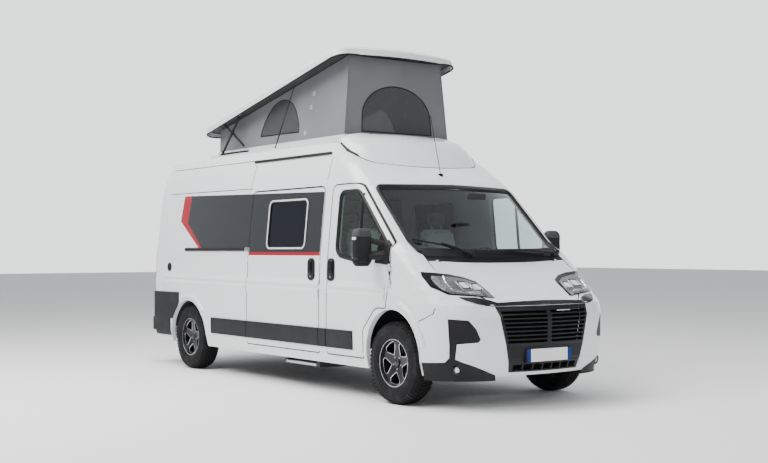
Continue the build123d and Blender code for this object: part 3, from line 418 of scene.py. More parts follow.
@dataclass(frozen=True)
class Paint(Finish):
    """Glossy coach paint with the faint ripple of sprayed lacquer."""

    decals: bool = False

    # The graphics show only beyond a plane that leans with the side, so the inside stays white.
    WALL_LEAN = 0.102
    WALL_AT = 1.119
    GREY = (0.020, 0.022, 0.026)
    RED = (0.33, 0.002, 0.014)
    # Convex areas on the van's side as (y, z) corners, anticlockwise from low front.
    GREY_AREAS = (((-0.8385, 1.352), (0.5735, 1.352), (0.5735, 1.972), (-0.8385, 1.942)),
                  ((0.5735, 1.402), (1.700, 1.402), (2.100, 1.690), (2.055, 2.006), (0.5735, 1.972)))
    RED_AREAS = (((-0.8385, 1.318), (0.5735, 1.318), (0.5735, 1.352), (-0.8385, 1.352)),
                 ((2.100, 1.690), (2.290, 1.714), (2.240, 2.010), (2.055, 2.006)),
                 ((1.700, 1.402), (1.775, 1.402), (2.290, 1.714), (2.100, 1.690)))

    def build(self, shader: Shader) -> None:
        """White lacquer, and the side's graphics where the piece has them.

        Args:
            shader: The material to fill.
        """
        colour = self.shaded(shader, shader.noise(0.7, 2.0), 0.965)
        if self.decals:
            x, y, z = shader.axes()
            outer = (x.abs() + z * self.WALL_LEAN) > self.WALL_AT
            for areas, tint in ((self.GREY_AREAS, self.GREY), (self.RED_AREAS, self.RED)):
                inside = None
                for corners in areas:
                    area = self.area(y, z, corners)
                    inside = area if inside is None else inside.most(area)
                colour = shader.mix(inside * outer, colour, tint)
        shader.set(Base_Color=colour, Roughness=0.20 + shader.noise(18.0, 4.0) * 0.06,
                   Coat_Weight=0.45, Coat_Roughness=0.05, Specular_IOR_Level=0.28)
        shader.bump(shader.noise(260.0, 2.0), 0.025, 0.001)

    @staticmethod
    def area(y: Expr, z: Expr, corners: Sequence[tuple[float, float]]) -> Expr:
        """1 inside a convex outline.

        Args:
            y: Distance along the van.
            z: Height.
            corners: The outline's corners, anticlockwise.

        Returns:
            The mask.
        """
        inside = None
        for (ya, za), (yb, zb) in zip(corners, (*corners[1:], corners[0])):
            length = math.hypot(yb - ya, zb - za)
            ny, nz = (za - zb) / length, (yb - ya) / length
            edge = (y * ny + z * nz) - (ya * ny + za * nz)
            inside = edge if inside is None else inside.least(edge)
        return inside > 0.0


@dataclass(frozen=True)
class Moulded(Finish):
    """Moulded plastic or rubber with a pressed grain."""

    grain: float = 900.0
    relief: float = 0.25

    def build(self, shader: Shader) -> None:
        """Grained, slightly uneven plastic.

        Args:
            shader: The material to fill.
        """
        cloud = shader.noise(3.0, 3.0)
        shader.set(Base_Color=self.shaded(shader, cloud.step(0.45, 0.8), 1.35, 0.004),
                   Roughness=self.roughness + (shader.noise(25.0, 3.0) - 0.5) * 0.12,
                   Specular_IOR_Level=0.5 if self.roughness < 0.2 else 0.22)
        shader.bump(shader.noise(self.grain, 1.0), self.relief, 0.0006)


@dataclass(frozen=True)
class TyreRubber(Finish):
    """Tyre rubber: darker grooves, a little dust on the tread."""

    def build(self, shader: Shader) -> None:
        """Matt rubber with fine pitting.

        Args:
            shader: The material to fill.
        """
        dust = shader.noise(9.0, 5.0).step(0.45, 0.75)
        shader.set(Base_Color=self.shaded(shader, dust, 1.6, 0.006),
                   Roughness=self.roughness + shader.noise(60.0, 3.0) * 0.14, Specular_IOR_Level=0.2)
        shader.bump(shader.noise(420.0, 3.0), 0.30, 0.0008)


@dataclass(frozen=True)
class Metal(Finish):
    """Bare, painted or machined metal."""

    metallic: float = 1.0
    brushed: tuple[float, float, float] = (60.0, 60.0, 60.0)

    def build(self, shader: Shader) -> None:
        """Metal with the marks of its working.

        Args:
            shader: The material to fill.
        """
        marks = shader.noise(4.0, 5.0, shader.stretched(self.brushed))
        shader.set(Base_Color=self.shaded(shader, marks, 0.82), Metallic=self.metallic,
                   Roughness=self.roughness + marks * 0.14)
        shader.bump(marks, 0.05, 0.0005)


@dataclass(frozen=True)
class Glass(Finish):
    """Clear or tinted window glass or lamp lens."""

    clear: float = 1.0

    def build(self, shader: Shader) -> None:
        """Glass with a breath of dust that shows in the gloss.

        Args:
            shader: The material to fill.
        """
        dust = shader.noise(2.5, 4.0).step(0.35, 0.9)
        shader.set(Base_Color=self.shaded(shader, dust, 0.96),
                   Transmission_Weight=self.clear, IOR=1.45, Roughness=self.roughness + dust * 0.012,
                   Coat_Weight=0.4, Coat_Roughness=0.02)


@dataclass(frozen=True)
class PrivacyGlass(Finish):
    """Blacked window of the living space: dark body, bright gloss, faint pleats of the blind behind."""

    def build(self, shader: Shader) -> None:
        """Near-black with fine upright pleats.

        Args:
            shader: The material to fill.
        """
        _, y, z = shader.axes()
        pleats = (y * 520.0).sine().step(-0.4, 1.0)
        rise = z.step(1.3, 2.0)
        shade = self.shaded(shader, pleats * 0.5, 2.4, 0.002)
        shader.set(Base_Color=shader.mix(rise * 0.5, shade, (0.004, 0.006, 0.012)),
                   Roughness=self.roughness + shader.noise(3.0) * 0.03, Specular_IOR_Level=0.3)


@dataclass(frozen=True)
class Woven(Finish):
    """Coated canvas: fine weave, soft creases, weathered tone."""

    weave: float = 1500.0
    creases: float = 0.35

    def build(self, shader: Shader) -> None:
        """Plain weave in two directions over a creased cloth.

        Args:
            shader: The material to fill.
        """
        x, y, z = shader.axes()
        warp = ((x + y) * self.weave).sine()
        weft = (z * self.weave).sine()
        weave = (warp * weft) * 0.5 + 0.5
        cloud = shader.noise(2.2, 4.0)
        tone = self.shaded(shader, cloud.step(0.35, 0.7), 0.86)
        shader.set(Base_Color=shader.mix(weave * 0.25, tone, tuple(c * 0.7 for c in self.colour)),
                   Roughness=self.roughness + weave * 0.08, Sheen_Weight=0.15, Sheen_Roughness=0.6)
        folds = shader.noise(3.4, 4.0, shader.stretched((1.0, 1.0, 0.45)))
        shader.bump(folds * self.creases + weave * 0.02, 0.5, 0.03)


@dataclass(frozen=True)
class Net(Finish):
    """Insect net: half see-through mesh over the dark inside."""

    def build(self, shader: Shader) -> None:
        """Fine square mesh.

        Args:
            shader: The material to fill.
        """
        x, y, z = shader.axes()
        threads = ((x + y) * 2600.0).sine().most((z * 2600.0).sine())
        shader.set(Base_Color=self.shaded(shader, threads.step(0.2, 0.9), 2.2),
                   Roughness=self.roughness + shader.noise(30.0) * 0.1,
                   Alpha=threads.step(-0.5, 0.6) * 0.35 + 0.62)


@dataclass(frozen=True)
class Upholstery(Finish):
    """Seat cloth and leathercloth with a pebbled surface."""

    pebble: float = 700.0

    def build(self, shader: Shader) -> None:
        """Pebble grain with soft wear on the crowns.

        Args:
            shader: The material to fill.
        """
        wear = shader.noise(5.0, 4.0).step(0.5, 0.85)
        shader.set(Base_Color=self.shaded(shader, wear, 0.8),
                   Roughness=self.roughness + shader.noise(40.0) * 0.12, Sheen_Weight=0.2,
                   Sheen_Roughness=0.5)
        shader.bump(shader.noise(self.pebble, 2.0), 0.35, 0.001)


@dataclass(frozen=True)
class WoodGrain(Finish):
    """Laminate with long grain."""

    def build(self, shader: Shader) -> None:
        """Grain stretched along the van.

        Args:
            shader: The material to fill.
        """
        grain = shader.noise(7.0, 5.0, shader.stretched((9.0, 0.7, 9.0)))
        shader.set(Base_Color=self.shaded(shader, grain.step(0.3, 0.7), 0.62),
                   Roughness=self.roughness + grain * 0.12)
        shader.bump(grain, 0.08, 0.001)


@dataclass(frozen=True)
class Reflector(Finish):
    """Faceted bright reflector inside a lamp."""

    facet: float = 90.0

    def build(self, shader: Shader) -> None:
        """Mirror with ribbed facets.

        Args:
            shader: The material to fill.
        """
        x, _, z = shader.axes()
        ribs = (x * self.facet * 6.0).sine() * (z * self.facet * 6.0).sine()
        shader.set(Base_Color=self.shaded(shader, ribs * 0.5 + 0.5, 0.7),
                   Metallic=1.0, Roughness=self.roughness + shader.noise(50.0) * 0.08)
        shader.bump(ribs * 0.5 + 0.5, 0.5, 0.002)


@dataclass(frozen=True)
class Ribbed(Finish):
    """Coloured lamp lens with moulded ribs."""

    pitch: float = 700.0

    def build(self, shader: Shader) -> None:
        """Deep colour with rows of optics.

        Args:
            shader: The material to fill.
        """
        x, y, z = shader.axes()
        rows = ((z * self.pitch).sine() * ((x + y) * self.pitch).sine()) * 0.5 + 0.5
        shader.set(Base_Color=self.shaded(shader, rows, 1.7, 0.01),
                   Roughness=self.roughness + rows * 0.1, Coat_Weight=1.0, Coat_Roughness=0.03)
        shader.bump(rows, 0.3, 0.001)


WHITE = Paint("white paint", "white_paint", (0.77, 0.785, 0.81))
WHITE_DECAL = Paint("white paint with side graphics", "white_paint", (0.77, 0.785, 0.81), decals=True)
SHELL_WHITE = Paint("roof shell gelcoat", "white_paint", (0.68, 0.69, 0.705))
TRIM_BLACK = Moulded("grained black trim", "black_plastic", (0.010, 0.010, 0.011), 0.50)
TRIM_GREY = Moulded("grained dark grey trim", "black_plastic", (0.050, 0.050, 0.052), 0.60)
# Black rubber of the real seals, also used for the dark strips of painted shade along the panel gaps.
SEAL_AND_GAP_SHADE = Moulded("black rubber seal", "black_plastic", (0.008, 0.008, 0.009), 0.42, 500.0, 0.10)
# Near-black finish used as painted shadow, for the shade deep inside a recess.
SHADOW = Moulded("dark recess", "black_plastic", (0.004, 0.004, 0.004), 0.8)
GLOSS = Moulded("gloss black trim", "gloss_black", (0.006, 0.006, 0.007), 0.10, 60.0, 0.01)
SATIN_GREY = Moulded("satin graphite trim", "gloss_black", (0.010, 0.011, 0.013), 0.24, 80.0, 0.01)
TYRE = TyreRubber("tyre rubber", "tyre", (0.009, 0.009, 0.010), 0.72)
RIM_BLACK = Metal("black wheel lacquer", "alloy", (0.012, 0.012, 0.013), 0.22, 0.35)
RIM_BRIGHT = Metal("machined wheel edge", "alloy", (0.72, 0.73, 0.75), 0.16)
ALUMINIUM = Metal("anodised aluminium", "step_metal", (0.60, 0.61, 0.63), 0.30, 1.0, (3.0, 220.0, 220.0))
STEEL = Metal("zinc-plated steel", "steel", (0.34, 0.35, 0.37), 0.38)
DARK_STEEL = Metal("black coated steel", "steel", (0.022, 0.022, 0.024), 0.42, 0.6)
IRON = Metal("cast iron", "iron", (0.10, 0.10, 0.105), 0.55, 0.9, (90.0, 90.0, 90.0))
UNDERSEAL = Moulded("underbody coating", "steel", (0.03, 0.03, 0.032), 0.75, 220.0, 0.5)
MIRROR_GLASS = Metal("mirror glass", "lamp_lens", (0.74, 0.76, 0.78), 0.03)
CHROME = Reflector("lamp reflector", "lamp_lens", (0.36, 0.37, 0.39), 0.24)
SCREEN = Glass("windscreen glass", "clear_glass", (0.66, 0.74, 0.76), 0.0)
CAB_GLASS = Glass("cab door glass", "clear_glass", (0.66, 0.84, 0.76), 0.0)
PRIVACY = PrivacyGlass("blacked living window", "dark_glass", (0.004, 0.005, 0.008), 0.06)
RED_LENS = Ribbed("red lamp lens", "red_lens", (0.36, 0.004, 0.010), 0.12)
CLEAR_LENS = Ribbed("ribbed clear lens", "lamp_lens", (0.55, 0.57, 0.60), 0.14)
AMBER_LENS = Ribbed("amber lamp lens", "red_lens", (0.70, 0.18, 0.01), 0.14)
CANVAS = Woven("grey tent canvas", "canvas", (0.148, 0.150, 0.163), 0.80)
CANVAS_PALE = Woven("pale canvas patch", "canvas", (0.34, 0.34, 0.35), 0.80)
CANVAS_DARK = Woven("shaded canvas flap", "canvas", (0.135, 0.137, 0.145), 0.82)
NET = Net("insect net", "canvas", (0.030, 0.030, 0.034), 0.7)
SEAT_PALE = Upholstery("pale leathercloth", "seat_fabric", (0.56, 0.55, 0.52), 0.55)
SEAT_DARK = Upholstery("dark seat cloth", "seat_fabric", (0.060, 0.062, 0.068), 0.75, 1500.0)
DASH = Moulded("dashboard skin", "dash_plastic", (0.028, 0.029, 0.031), 0.62, 700.0, 0.35)
LINING = Woven("pale inner lining", "wood", (0.46, 0.46, 0.45), 0.85, 1200.0, 0.12)
OAK = WoodGrain("pale oak laminate", "wood", (0.42, 0.30, 0.19), 0.45)
PLATE_WHITE = Moulded("blank plate face", "white_paint", (0.80, 0.80, 0.80), 0.30, 1600.0, 0.10)
PLATE_BLUE = Moulded("plate end band", "white_paint", (0.004, 0.022, 0.17), 0.30, 1600.0, 0.10)
INDICATOR = Reflector("indicator strip", "lamp_lens", (0.80, 0.80, 0.78), 0.14, 60.0)


# ---- mesh making
Project = Callable[[float, float], tuple[Vector, Vector]]


def linked(name: str, data: ID) -> Object:
    """Make an object in the scene.

    Args:
        name: Its name.
        data: The data it holds.

    Returns:
        The object.
    """
    made = bpy.data.objects.new(name, data)
    bpy.context.scene.collection.objects.link(made)
    return made


def raw_mesh(name: str, verts: Iterable[Point], faces: Iterable[Sequence[int]]) -> Mesh:
    """Mesh of the points and faces as they are given.

    Args:
        name: Its name.
        verts: Its points.
        faces: Indices of each face.

    Returns:
        The mesh.
    """
    mesh = bpy.data.meshes.new(name)
    mesh.from_pydata([tuple(v) for v in verts], [], [tuple(f) for f in faces])
    return mesh


def evaluated(thing: Object) -> Mesh:
    """Plain mesh of an object with its modifiers applied."""
    return bpy.data.meshes.new_from_object(thing.evaluated_get(bpy.context.evaluated_depsgraph_get()))


@contextmanager
def editing(mesh: Mesh) -> Iterator[bmesh.types.BMesh]:
    """Open a mesh for changes, and write them back at the end.

    Args:
        mesh: The mesh.

    Yields:
        Its editable form.
    """
    work = bmesh.new()
    work.from_mesh(mesh)
    yield work
    work.to_mesh(mesh)
    work.free()


def band_faces(rows: int, width: int, closed: bool = False) -> Faces:
    """Faces that join rows of points into a tube.

    Args:
        rows: Number of rows.
        width: Points in each row.
        closed: Whether the last row joins the first; open ends are capped.

    Returns:
        The faces.
    """
    faces: Faces = []
    for i in range(rows if closed else rows - 1):
        j = (i + 1) % rows
        faces += [(i * width + k, i * width + (k + 1) % width, j * width + (k + 1) % width, j * width + k)
                  for k in range(width)]
    if not closed:
        faces += [tuple(range(width)), tuple((rows - 1) * width + k for k in range(width))]
    return faces


def mirrored(points: Iterable[Sequence[float]], side: Side) -> list[tuple[float, ...]]:
    """Points given for the left side, carried to a side; only the first value turns its sign."""
    return [(side.value * first, *rest) for first, *rest in points]


def box_corners(u: float, v: float, half_u: float, half_v: float, radius: float) -> list[Corner]:
    """Corners of a rounded rectangle about a point, ready for rounded()."""
    return [(u + a * half_u, v + b * half_v, radius) for a, b in ((-1, -1), (1, -1), (1, 1), (-1, 1))]


def box_outline(u: float, v: float, half_u: float, half_v: float, radius: float) -> list[Vec2]:
    """Rounded rectangle about a point."""
    return rounded(box_corners(u, v, half_u, half_v, radius))


def rounded(corners: Sequence[Corner], closed: bool = True, steps: int = 6) -> list[Vec2]:
    """Outline with its corners rounded.

    Args:
        corners: (u, v, radius) of each corner.
        closed: Whether the last corner joins the first.
        steps: Short edges in each round corner.

    Returns:
        The outline's points.
    """
    points: list[Vec2] = []
    count = len(corners)
    for i, (u, v, radius) in enumerate(corners):
        here = Vector((u, v))
        if radius <= 0 or (not closed and i in (0, count - 1)):
            points.append((u, v))
            continue
        before = Vector(corners[i - 1][:2]) - here
        after = Vector(corners[(i + 1) % count][:2]) - here
        half = before.angle(after) / 2
        reach = min(radius / math.tan(half), 0.48 * min(before.length, after.length))
        radius = reach * math.tan(half)
        start, end = before.normalized() * reach, after.normalized() * reach
        centre = (before.normalized() + after.normalized()).normalized() * (radius / math.sin(half))
        for k in range(steps + 1):
            t = k / steps
            arm = ((start - centre) * (1 - t) + (end - centre) * t).normalized() * radius
            point = here + centre + arm
            points.append((point.x, point.y))
    return points


def spaced(points: Sequence[Vec2], gap: float, closed: bool = True) -> list[Vec2]:
    """The same outline with no edge longer than gap.

    Args:
        points: The outline.
        gap: Longest edge.
        closed: Whether the outline closes.

    Returns:
        The outline with more points on its long edges.
    """
    result: list[Vec2] = []
    pairs = list(zip(points, (*points[1:], points[0]))) if closed else list(zip(points[:-1], points[1:]))
    for (ua, va), (ub, vb) in pairs:
        parts = max(1, math.ceil(math.hypot(ub - ua, vb - va) / gap))
        result += [(ua + (ub - ua) * k / parts, va + (vb - va) * k / parts) for k in range(parts)]
    if not closed:
        result.append(points[-1])
    return result


def arc_points(centre: Vec2, radius: float, start: float, end: float, steps: int) -> list[Vec2]:
    """Points on an arc about a centre, its ends included, for angles in degrees."""
    turns = [math.radians(start + (end - start) * k / steps) for k in range(steps + 1)]
    return [(centre[0] + radius * math.cos(t), centre[1] + radius * math.sin(t)) for t in turns]


def piece(name: str, verts: Iterable[Point], faces: Iterable[Sequence[int]], finish: Finish, body: str = VAN,
          smooth: float | None = SHARP_ANGLE, fix: bool = True) -> Object:
    """Make one piece from points and faces; the rest is as for adopt()."""
    return adopt(name, raw_mesh(name, verts, faces), finish, body, smooth, fix)


def adopt(name: str, mesh: Mesh, finish: Finish, body: str = VAN,
          smooth: float | None = SHARP_ANGLE, fix: bool = True) -> Object:
    """Turn a finished mesh into a piece.

    Args:
        name: The piece's name.
        mesh: Its mesh, placed in the frame.
        finish: Its finish.
        body: The body that it rides on.
        smooth: Sharp-edge angle in degrees, or None.
        fix: Merge doubles and turn the faces outwards.

    Returns:
        The new object.
    """
    if fix:
        with editing(mesh) as work:
            bmesh.ops.remove_doubles(work, verts=work.verts, dist=MERGE_DISTANCE)
            bmesh.ops.dissolve_degenerate(work, edges=work.edges, dist=MERGE_DISTANCE / 10)
            bmesh.ops.recalc_face_normals(work, faces=work.faces)
    if smooth is not None:
        mesh.polygons.foreach_set("use_smooth", [True] * len(mesh.polygons))
        mesh.set_sharp_from_angle(angle=math.radians(smooth))
    mesh.materials.clear()
    mesh.materials.append(finish.material())
    made = linked(name.replace(" ", "_"), mesh)
    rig.ride(made, body)
    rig.slot(made, finish.slot)
    LOG.info("%s: %d faces on %s", name, len(mesh.polygons), body)
    return made


def bevelled(thing: Object, width: float) -> Object:
    """Round a piece's sharp edges.

    Args:
        thing: The piece.
        width: Width of the rounding.

    Returns:
        The same piece.
    """
    modifier = thing.modifiers.new("soft edges", "BEVEL")
    modifier.width = width
    modifier.segments = 2
    modifier.limit_method = "ANGLE"
    modifier.angle_limit = math.radians(SHARP_ANGLE)
    modifier.harden_normals = False
    return thing


# Faces of a block whose corners run through X, then Y, then Z.
BLOCK_FACES = ((0, 1, 3, 2), (4, 6, 7, 5), (0, 4, 5, 1), (2, 3, 7, 6), (0, 2, 6, 4), (1, 5, 7, 3))


@dataclass
class MeshBag:
    """Collects several closed shapes into one mesh."""

    verts: list[Vector] = field(default_factory=list)
    faces: Faces = field(default_factory=list)

    def add(self, verts: Iterable[Point], faces: Iterable[Sequence[int]]) -> None:
        """Add one shape.

        Args:
            verts: Its points.
            faces: Its faces.
        """
        base = len(self.verts)
        self.verts += [Vector(v) for v in verts]
        self.faces += [tuple(base + i for i in face) for face in faces]

    def block(self, low: Point, high: Point) -> None:
        """Add a box, from its lowest to its highest corner."""
        self.add([(x, y, z) for x in (low[0], high[0]) for y in (low[1], high[1]) for z in (low[2], high[2])],
                 BLOCK_FACES)

    def tube(self, path: Sequence[Point], radius: float, sides: int = 10, closed: bool = False) -> None:
        """Add a round tube along a path.

        Args:
            path: Points of its middle line.
            radius: Its radius.
            sides: Faces round it.
            closed: Whether it joins its start.
        """
        points = [Vector(p) for p in path]
        count = len(points)
        rings: list[Vector] = []
        normal = None
        for i, here in enumerate(points):
            ahead = points[(i + 1) % count] if closed or i + 1 < count else here
            behind = points[i - 1] if closed or i else here
            along = (ahead - behind).normalized()
            if normal is None:
                normal = along.orthogonal().normalized()
            normal = (normal - along * normal.dot(along)).normalized()
            across = along.cross(normal)
            for k in range(sides):
                turn = 2 * math.pi * k / sides
                rings.append(here + normal * (radius * math.cos(turn)) + across * (radius * math.sin(turn)))
        self.add(rings, band_faces(count, sides, closed))

    def lathe(self, profile: Sequence[Vec2], place: Matrix, steps: int = 48) -> None:
        """Add a shape turned about its own X axis.

        Args:
            profile: (x, radius) points of a closed outline off the axis, or one that starts and ends on it.
            place: Placing applied to the shape.
            steps: Faces round it.
        """
        rows = len(profile)
        verts: list[Vector] = []
        for k in range(steps):
            turn = 2 * math.pi * k / steps
            verts += [place @ Vector((x, r * math.cos(turn), r * math.sin(turn))) for x, r in profile]
        on_axis = abs(profile[0][1]) < 1e-9
        faces = []
        for k in range(steps):
            a, b = k * rows, ((k + 1) % steps) * rows
            faces += [(a + i, a + i + 1, b + i + 1, b + i) for i in range(rows - 1)]
            if not on_axis:
                faces.append((a + rows - 1, a, b, b + rows - 1))
        self.add(verts, faces)

    def make(self, name: str, finish: Finish, body: str = VAN,
             smooth: float | None = SHARP_ANGLE) -> Object:
        """Turn the bag into a piece; the rest is as for adopt()."""
        return piece(name, self.verts, self.faces, finish, body, smooth)


class Skin:
    """The outside of chosen CAD pieces, found by looking at them from outside."""

    beside, before, above = 1.6, 3.6, 4.2
    gap_reach = 0.011
    gap_depth = 0.014

    def __init__(self, nodes: Iterable[str]) -> None:
        """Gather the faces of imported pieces.

        Args:
            nodes: Names of the pieces.
        """
        verts: list[Vector] = []
        faces: Faces = []
        for name in nodes:
            mesh = frame["nodes"][name].data
            base = len(verts)
            verts += [v.co.copy() for v in mesh.vertices]
            faces += [tuple(base + i for i in polygon.vertices) for polygon in mesh.polygons]
        self.tree = BVHTree.FromPolygons(verts, faces)

    def look(self, start: Vector, way: Vector, across: tuple[Vector, Vector]) -> tuple[Vector, Vector]:
        """Nearest surface point along a line of sight; a panel gap is stepped over.

        Args:
            start: Where the eye is.
            way: The direction it looks.
            across: Two directions across the view.

        Returns:
            The point on the skin and its outward normal.

        Raises:
            ValueError: If nothing is there.
        """
        best = None
        straight = self.tree.ray_cast(start, way)
        reach = self.gap_reach
        for u, v in ((reach, 0.0), (-reach, 0.0), (0.0, reach), (0.0, -reach)):
            shifted = self.tree.ray_cast(start + across[0] * u + across[1] * v, way)
            if shifted[0] is not None and (best is None or shifted[3] < best[3]):
                best = shifted
        if straight[0] is not None and (best is None or straight[3] < best[3] + self.gap_depth):
            best = straight
        if best is None:
            raise ValueError(f"no surface from {tuple(start)} along {tuple(way)}")
        normal = best[1] if best[1].dot(way) < 0 else -best[1]
        return start + way * best[3], normal

    def _map(self, eye: Callable[[float, float], Point], way: Point, u_way: Point, v_way: Point) -> Project:
        """Mapping that looks along a way from the eye of each (u, v), with the two directions across it."""
        line, across = Vector(way), (Vector(u_way), Vector(v_way))
        return lambda u, v: self.look(Vector(eye(u, v)), line, across)

    def side(self, side: Side) -> Project:
        """Map (y, z) to one side of the van."""
        return self._map(lambda y, z: (self.beside * side.value, y, z), (-side.value, 0, 0), (0, 1, 0),
                         (0, 0, 1))

    def end(self, front: bool) -> Project:
        """Map (x, z) to the nose, or to the tail."""
        sign = 1 if front else -1
        return self._map(lambda x, z: (x, -self.before * sign, z), (0, sign, 0), (1, 0, 0), (0, 0, 1))

    def top(self) -> Project:
        """Map (x, y) to the roof."""
        return self._map(lambda x, y: (x, y, self.above), (0, 0, -1), (1, 0, 0), (0, 1, 0))


def flat(origin: Point, u_way: Point, v_way: Point) -> Project:
    """Map (u, v) to a plane.

    Args:
        origin: Where u and v are zero.
        u_way: Direction of u.
        v_way: Direction of v.

    Returns:
        The mapping, to a point and the plane's normal.
    """
    start, u_axis, v_axis = Vector(origin), Vector(u_way).normalized(), Vector(v_way).normalized()
    normal = u_axis.cross(v_axis)
    return lambda u, v: (start + u_axis * u + v_axis * v, normal)


def moulding(name: str, path: Sequence[Vec2], section: Sequence[Vec2], onto: Project, finish: Finish,
             body: str = VAN, closed: bool = True, gap: float = 0.05) -> Object:
    """Run a section along a line that lies on a surface.

    Args:
        name: The piece's name.
        path: The line, in the surface's own u and v.
        section: Closed section as (across, height) points.
        onto: The surface.
        finish: Its finish.
        body: Its body.
        closed: Whether the line closes.
        gap: Longest step along the line.

    Returns:
        The piece.
    """
    line = spaced(path, gap, closed)
    count = len(line)
    verts: list[Vector] = []
    for i, (u, v) in enumerate(line):
        here = Vector((u, v))
        ahead = Vector(line[(i + 1) % count]) if closed or i + 1 < count else here
        behind = Vector(line[i - 1]) if closed or i else here
        first, second = (here - behind), (ahead - here)
        along = (first.normalized() + second.normalized()).normalized()
        edge = second if second.length > 1e-9 else first
        lean = max(0.5, abs(along.dot(edge.normalized())))
        across = Vector((-along.y, along.x)) / lean
        for a, height in section:
            point, normal = onto(u + across.x * a, v + across.y * a)
            verts.append(point + normal * height)
    return piece(name, verts, band_faces(count, len(section), closed), finish, body)


def plan_faces(rim: Sequence[Vec2], holes: Sequence[Sequence[Vec2]],
               gap: float) -> tuple[list[Vec2], Faces, list[list[int]]]:
    """Triangles that fill an outline, less its holes.

    Args:
        rim: The outline.
        holes: Outlines left open.
        gap: Spacing of the inner points.

    Returns:
        Points, faces, and the point numbers of the outline and of each hole.
    """
    us, vs = [u for u, _ in rim], [v for _, v in rim]
    loops: list[list[int]] = []
    points: list[Vec2] = []
    for loop in (rim, *holes):
        loops.append(list(range(len(points), len(points) + len(loop))))
        points += list(loop)
    edge_points = list(points)
    rows = max(1, round((max(vs) - min(vs)) / gap))
    columns = max(1, round((max(us) - min(us)) / gap))
    for j in range(1, rows):
        for i in range(1, columns):
            point = (min(us) + (max(us) - min(us)) * i / columns, min(vs) + (max(vs) - min(vs)) * j / rows)
            if (is_inside(point, rim) and not any(is_inside(point, hole) for hole in holes)
                    and min(math.dist(point, r) for r in edge_points) > gap * EDGE_CLEARANCE):
                points.append(point)
    edges = [(a, b) for loop in loops for a, b in zip(loop, (*loop[1:], loop[0]))]
    flat_points, _, faces, *_ = delaunay_2d_cdt([Vector(p) for p in points], edges, [loops[0]], 1, 1e-6)
    kept = []
    for face in faces:
        middle = (sum(flat_points[i].x for i in face) / len(face),
                  sum(flat_points[i].y for i in face) / len(face))
        if is_inside(middle, rim) and not any(is_inside(middle, hole) for hole in holes):
            kept.append(tuple(face))
    return [(p.x, p.y) for p in flat_points], kept, loops


def pad(name: str, outline: Sequence[Vec2], height: float, onto: Project, finish: Finish, body: str = VAN,
        sink: float = 0.003, edge: float = 0.0, gap: float = 0.06,
        holes: Sequence[Sequence[Vec2]] = ()) -> Object:
    """Closed plate that follows a surface inside an outline.

    Args:
        name: The piece's name.
        outline: Its outline in the surface's u and v.
        height: How far it stands off the surface.
        onto: The surface.
        finish: Its finish.
        body: Its body.
        sink: How far its back lies below the surface.
        edge: Width of the rounding of its edge.
        gap: Spacing of its inner points.
        holes: Outlines left open.

    Returns:
        The piece.
    """
    points, faces, loops = plan_faces(spaced(outline, gap), holes, gap)
    total = len(points)
    found = [onto(u, v) for u, v in points]
    tops = [place + normal * height for place, normal in found]
    backs = [place - normal * sink for place, normal in found]
    walls = [(a, b, total + b, total + a) for loop in loops for a, b in zip(loop, (*loop[1:], loop[0]))]
    mesh_faces = faces + [tuple(total + i for i in reversed(f)) for f in faces] + walls
    made = piece(name, tops + backs, mesh_faces, finish, body)
    return bevelled(made, edge) if edge else made


def is_inside(point: Vec2, outline: Sequence[Vec2]) -> bool:
    """Whether a point lies inside an outline.

    Args:
        point: The point.
        outline: The outline's corners.

    Returns:
        True if it does.
    """
    u, v = point
    inside = False
    for (ua, va), (ub, vb) in zip(outline, (*outline[1:], outline[0])):
        if (va > v) != (vb > v) and u < (ub - ua) * (v - va) / (vb - va) + ua:
            inside = not inside
    return inside


def bead(width: float, height: float, sink: float = 0.002, steps: int = 5) -> list[Vec2]:
    """Rounded section of a seal or strip.

    Args:
        width: Its full width.
        height: How far it stands off.
        sink: How far it is let in.
        steps: Edges over the round top.

    Returns:
        Closed section as (across, height) points.
    """
    turns = [math.pi * k / steps for k in range(1, steps)]
    top = [(-(width / 2) * math.cos(t), -sink + (height + sink) * min(1.0, 1.25 * math.sin(t)))
           for t in turns]
    return [(-width / 2, -sink), *top, (width / 2, -sink)]


# ---- geometry nodes
class NodeShape(NodeKit):
    """A Geometry Nodes tree with named inputs, run once and turned into a plain mesh."""

    def __init__(self, name: str) -> None:
        """Start an empty tree.

        Args:
            name: Its name.
        """
        super().__init__(bpy.data.node_groups.new(name, "GeometryNodeTree"))
        self.tree.interface.new_socket("Geometry", in_out="OUTPUT", socket_type="NodeSocketGeometry")
        self.inputs = self.node("NodeGroupInput")
        self.values: dict[str, object] = {}

    def value(self, name: str, kind: str, start: object) -> NodeSocket:
        """Add a named input.

        Args:
            name: Its name.
            kind: Its socket type, such as Float or Int.
            start: Its value.

        Returns:
            The socket that carries it.
        """
        socket = self.tree.interface.new_socket(name, in_out="INPUT", socket_type=f"NodeSocket{kind}")
        self.values[socket.identifier] = start
        return self.inputs.outputs[name]

    def mesh(self, name: str, geometry: NodeSocket, material: Material) -> Mesh:
        """Realize the instances, set the material, close the tree and run it.

        Args:
            name: Name of the mesh.
            geometry: The last geometry socket.
            material: The material of the result.

        Returns:
            The plain mesh that the tree makes.
        """
        real = self.node("GeometryNodeRealizeInstances", {}, {0: geometry})
        painted = self.node("GeometryNodeSetMaterial", {},
                            {"Geometry": real.outputs[0], "Material": material})
        self.node("NodeGroupOutput", {}, {0: painted.outputs[0]})
        carrier = linked(f"{name} carrier", bpy.data.meshes.new(f"{name} base"))
        modifier = carrier.modifiers.new("shape", "NODES")
        modifier.node_group = self.tree
        for identifier, value in self.values.items():
            modifier[identifier] = value
        made = evaluated(carrier)
        made.name = name
        carrier.modifiers.remove(modifier)
        bpy.data.objects.remove(carrier)
        return made


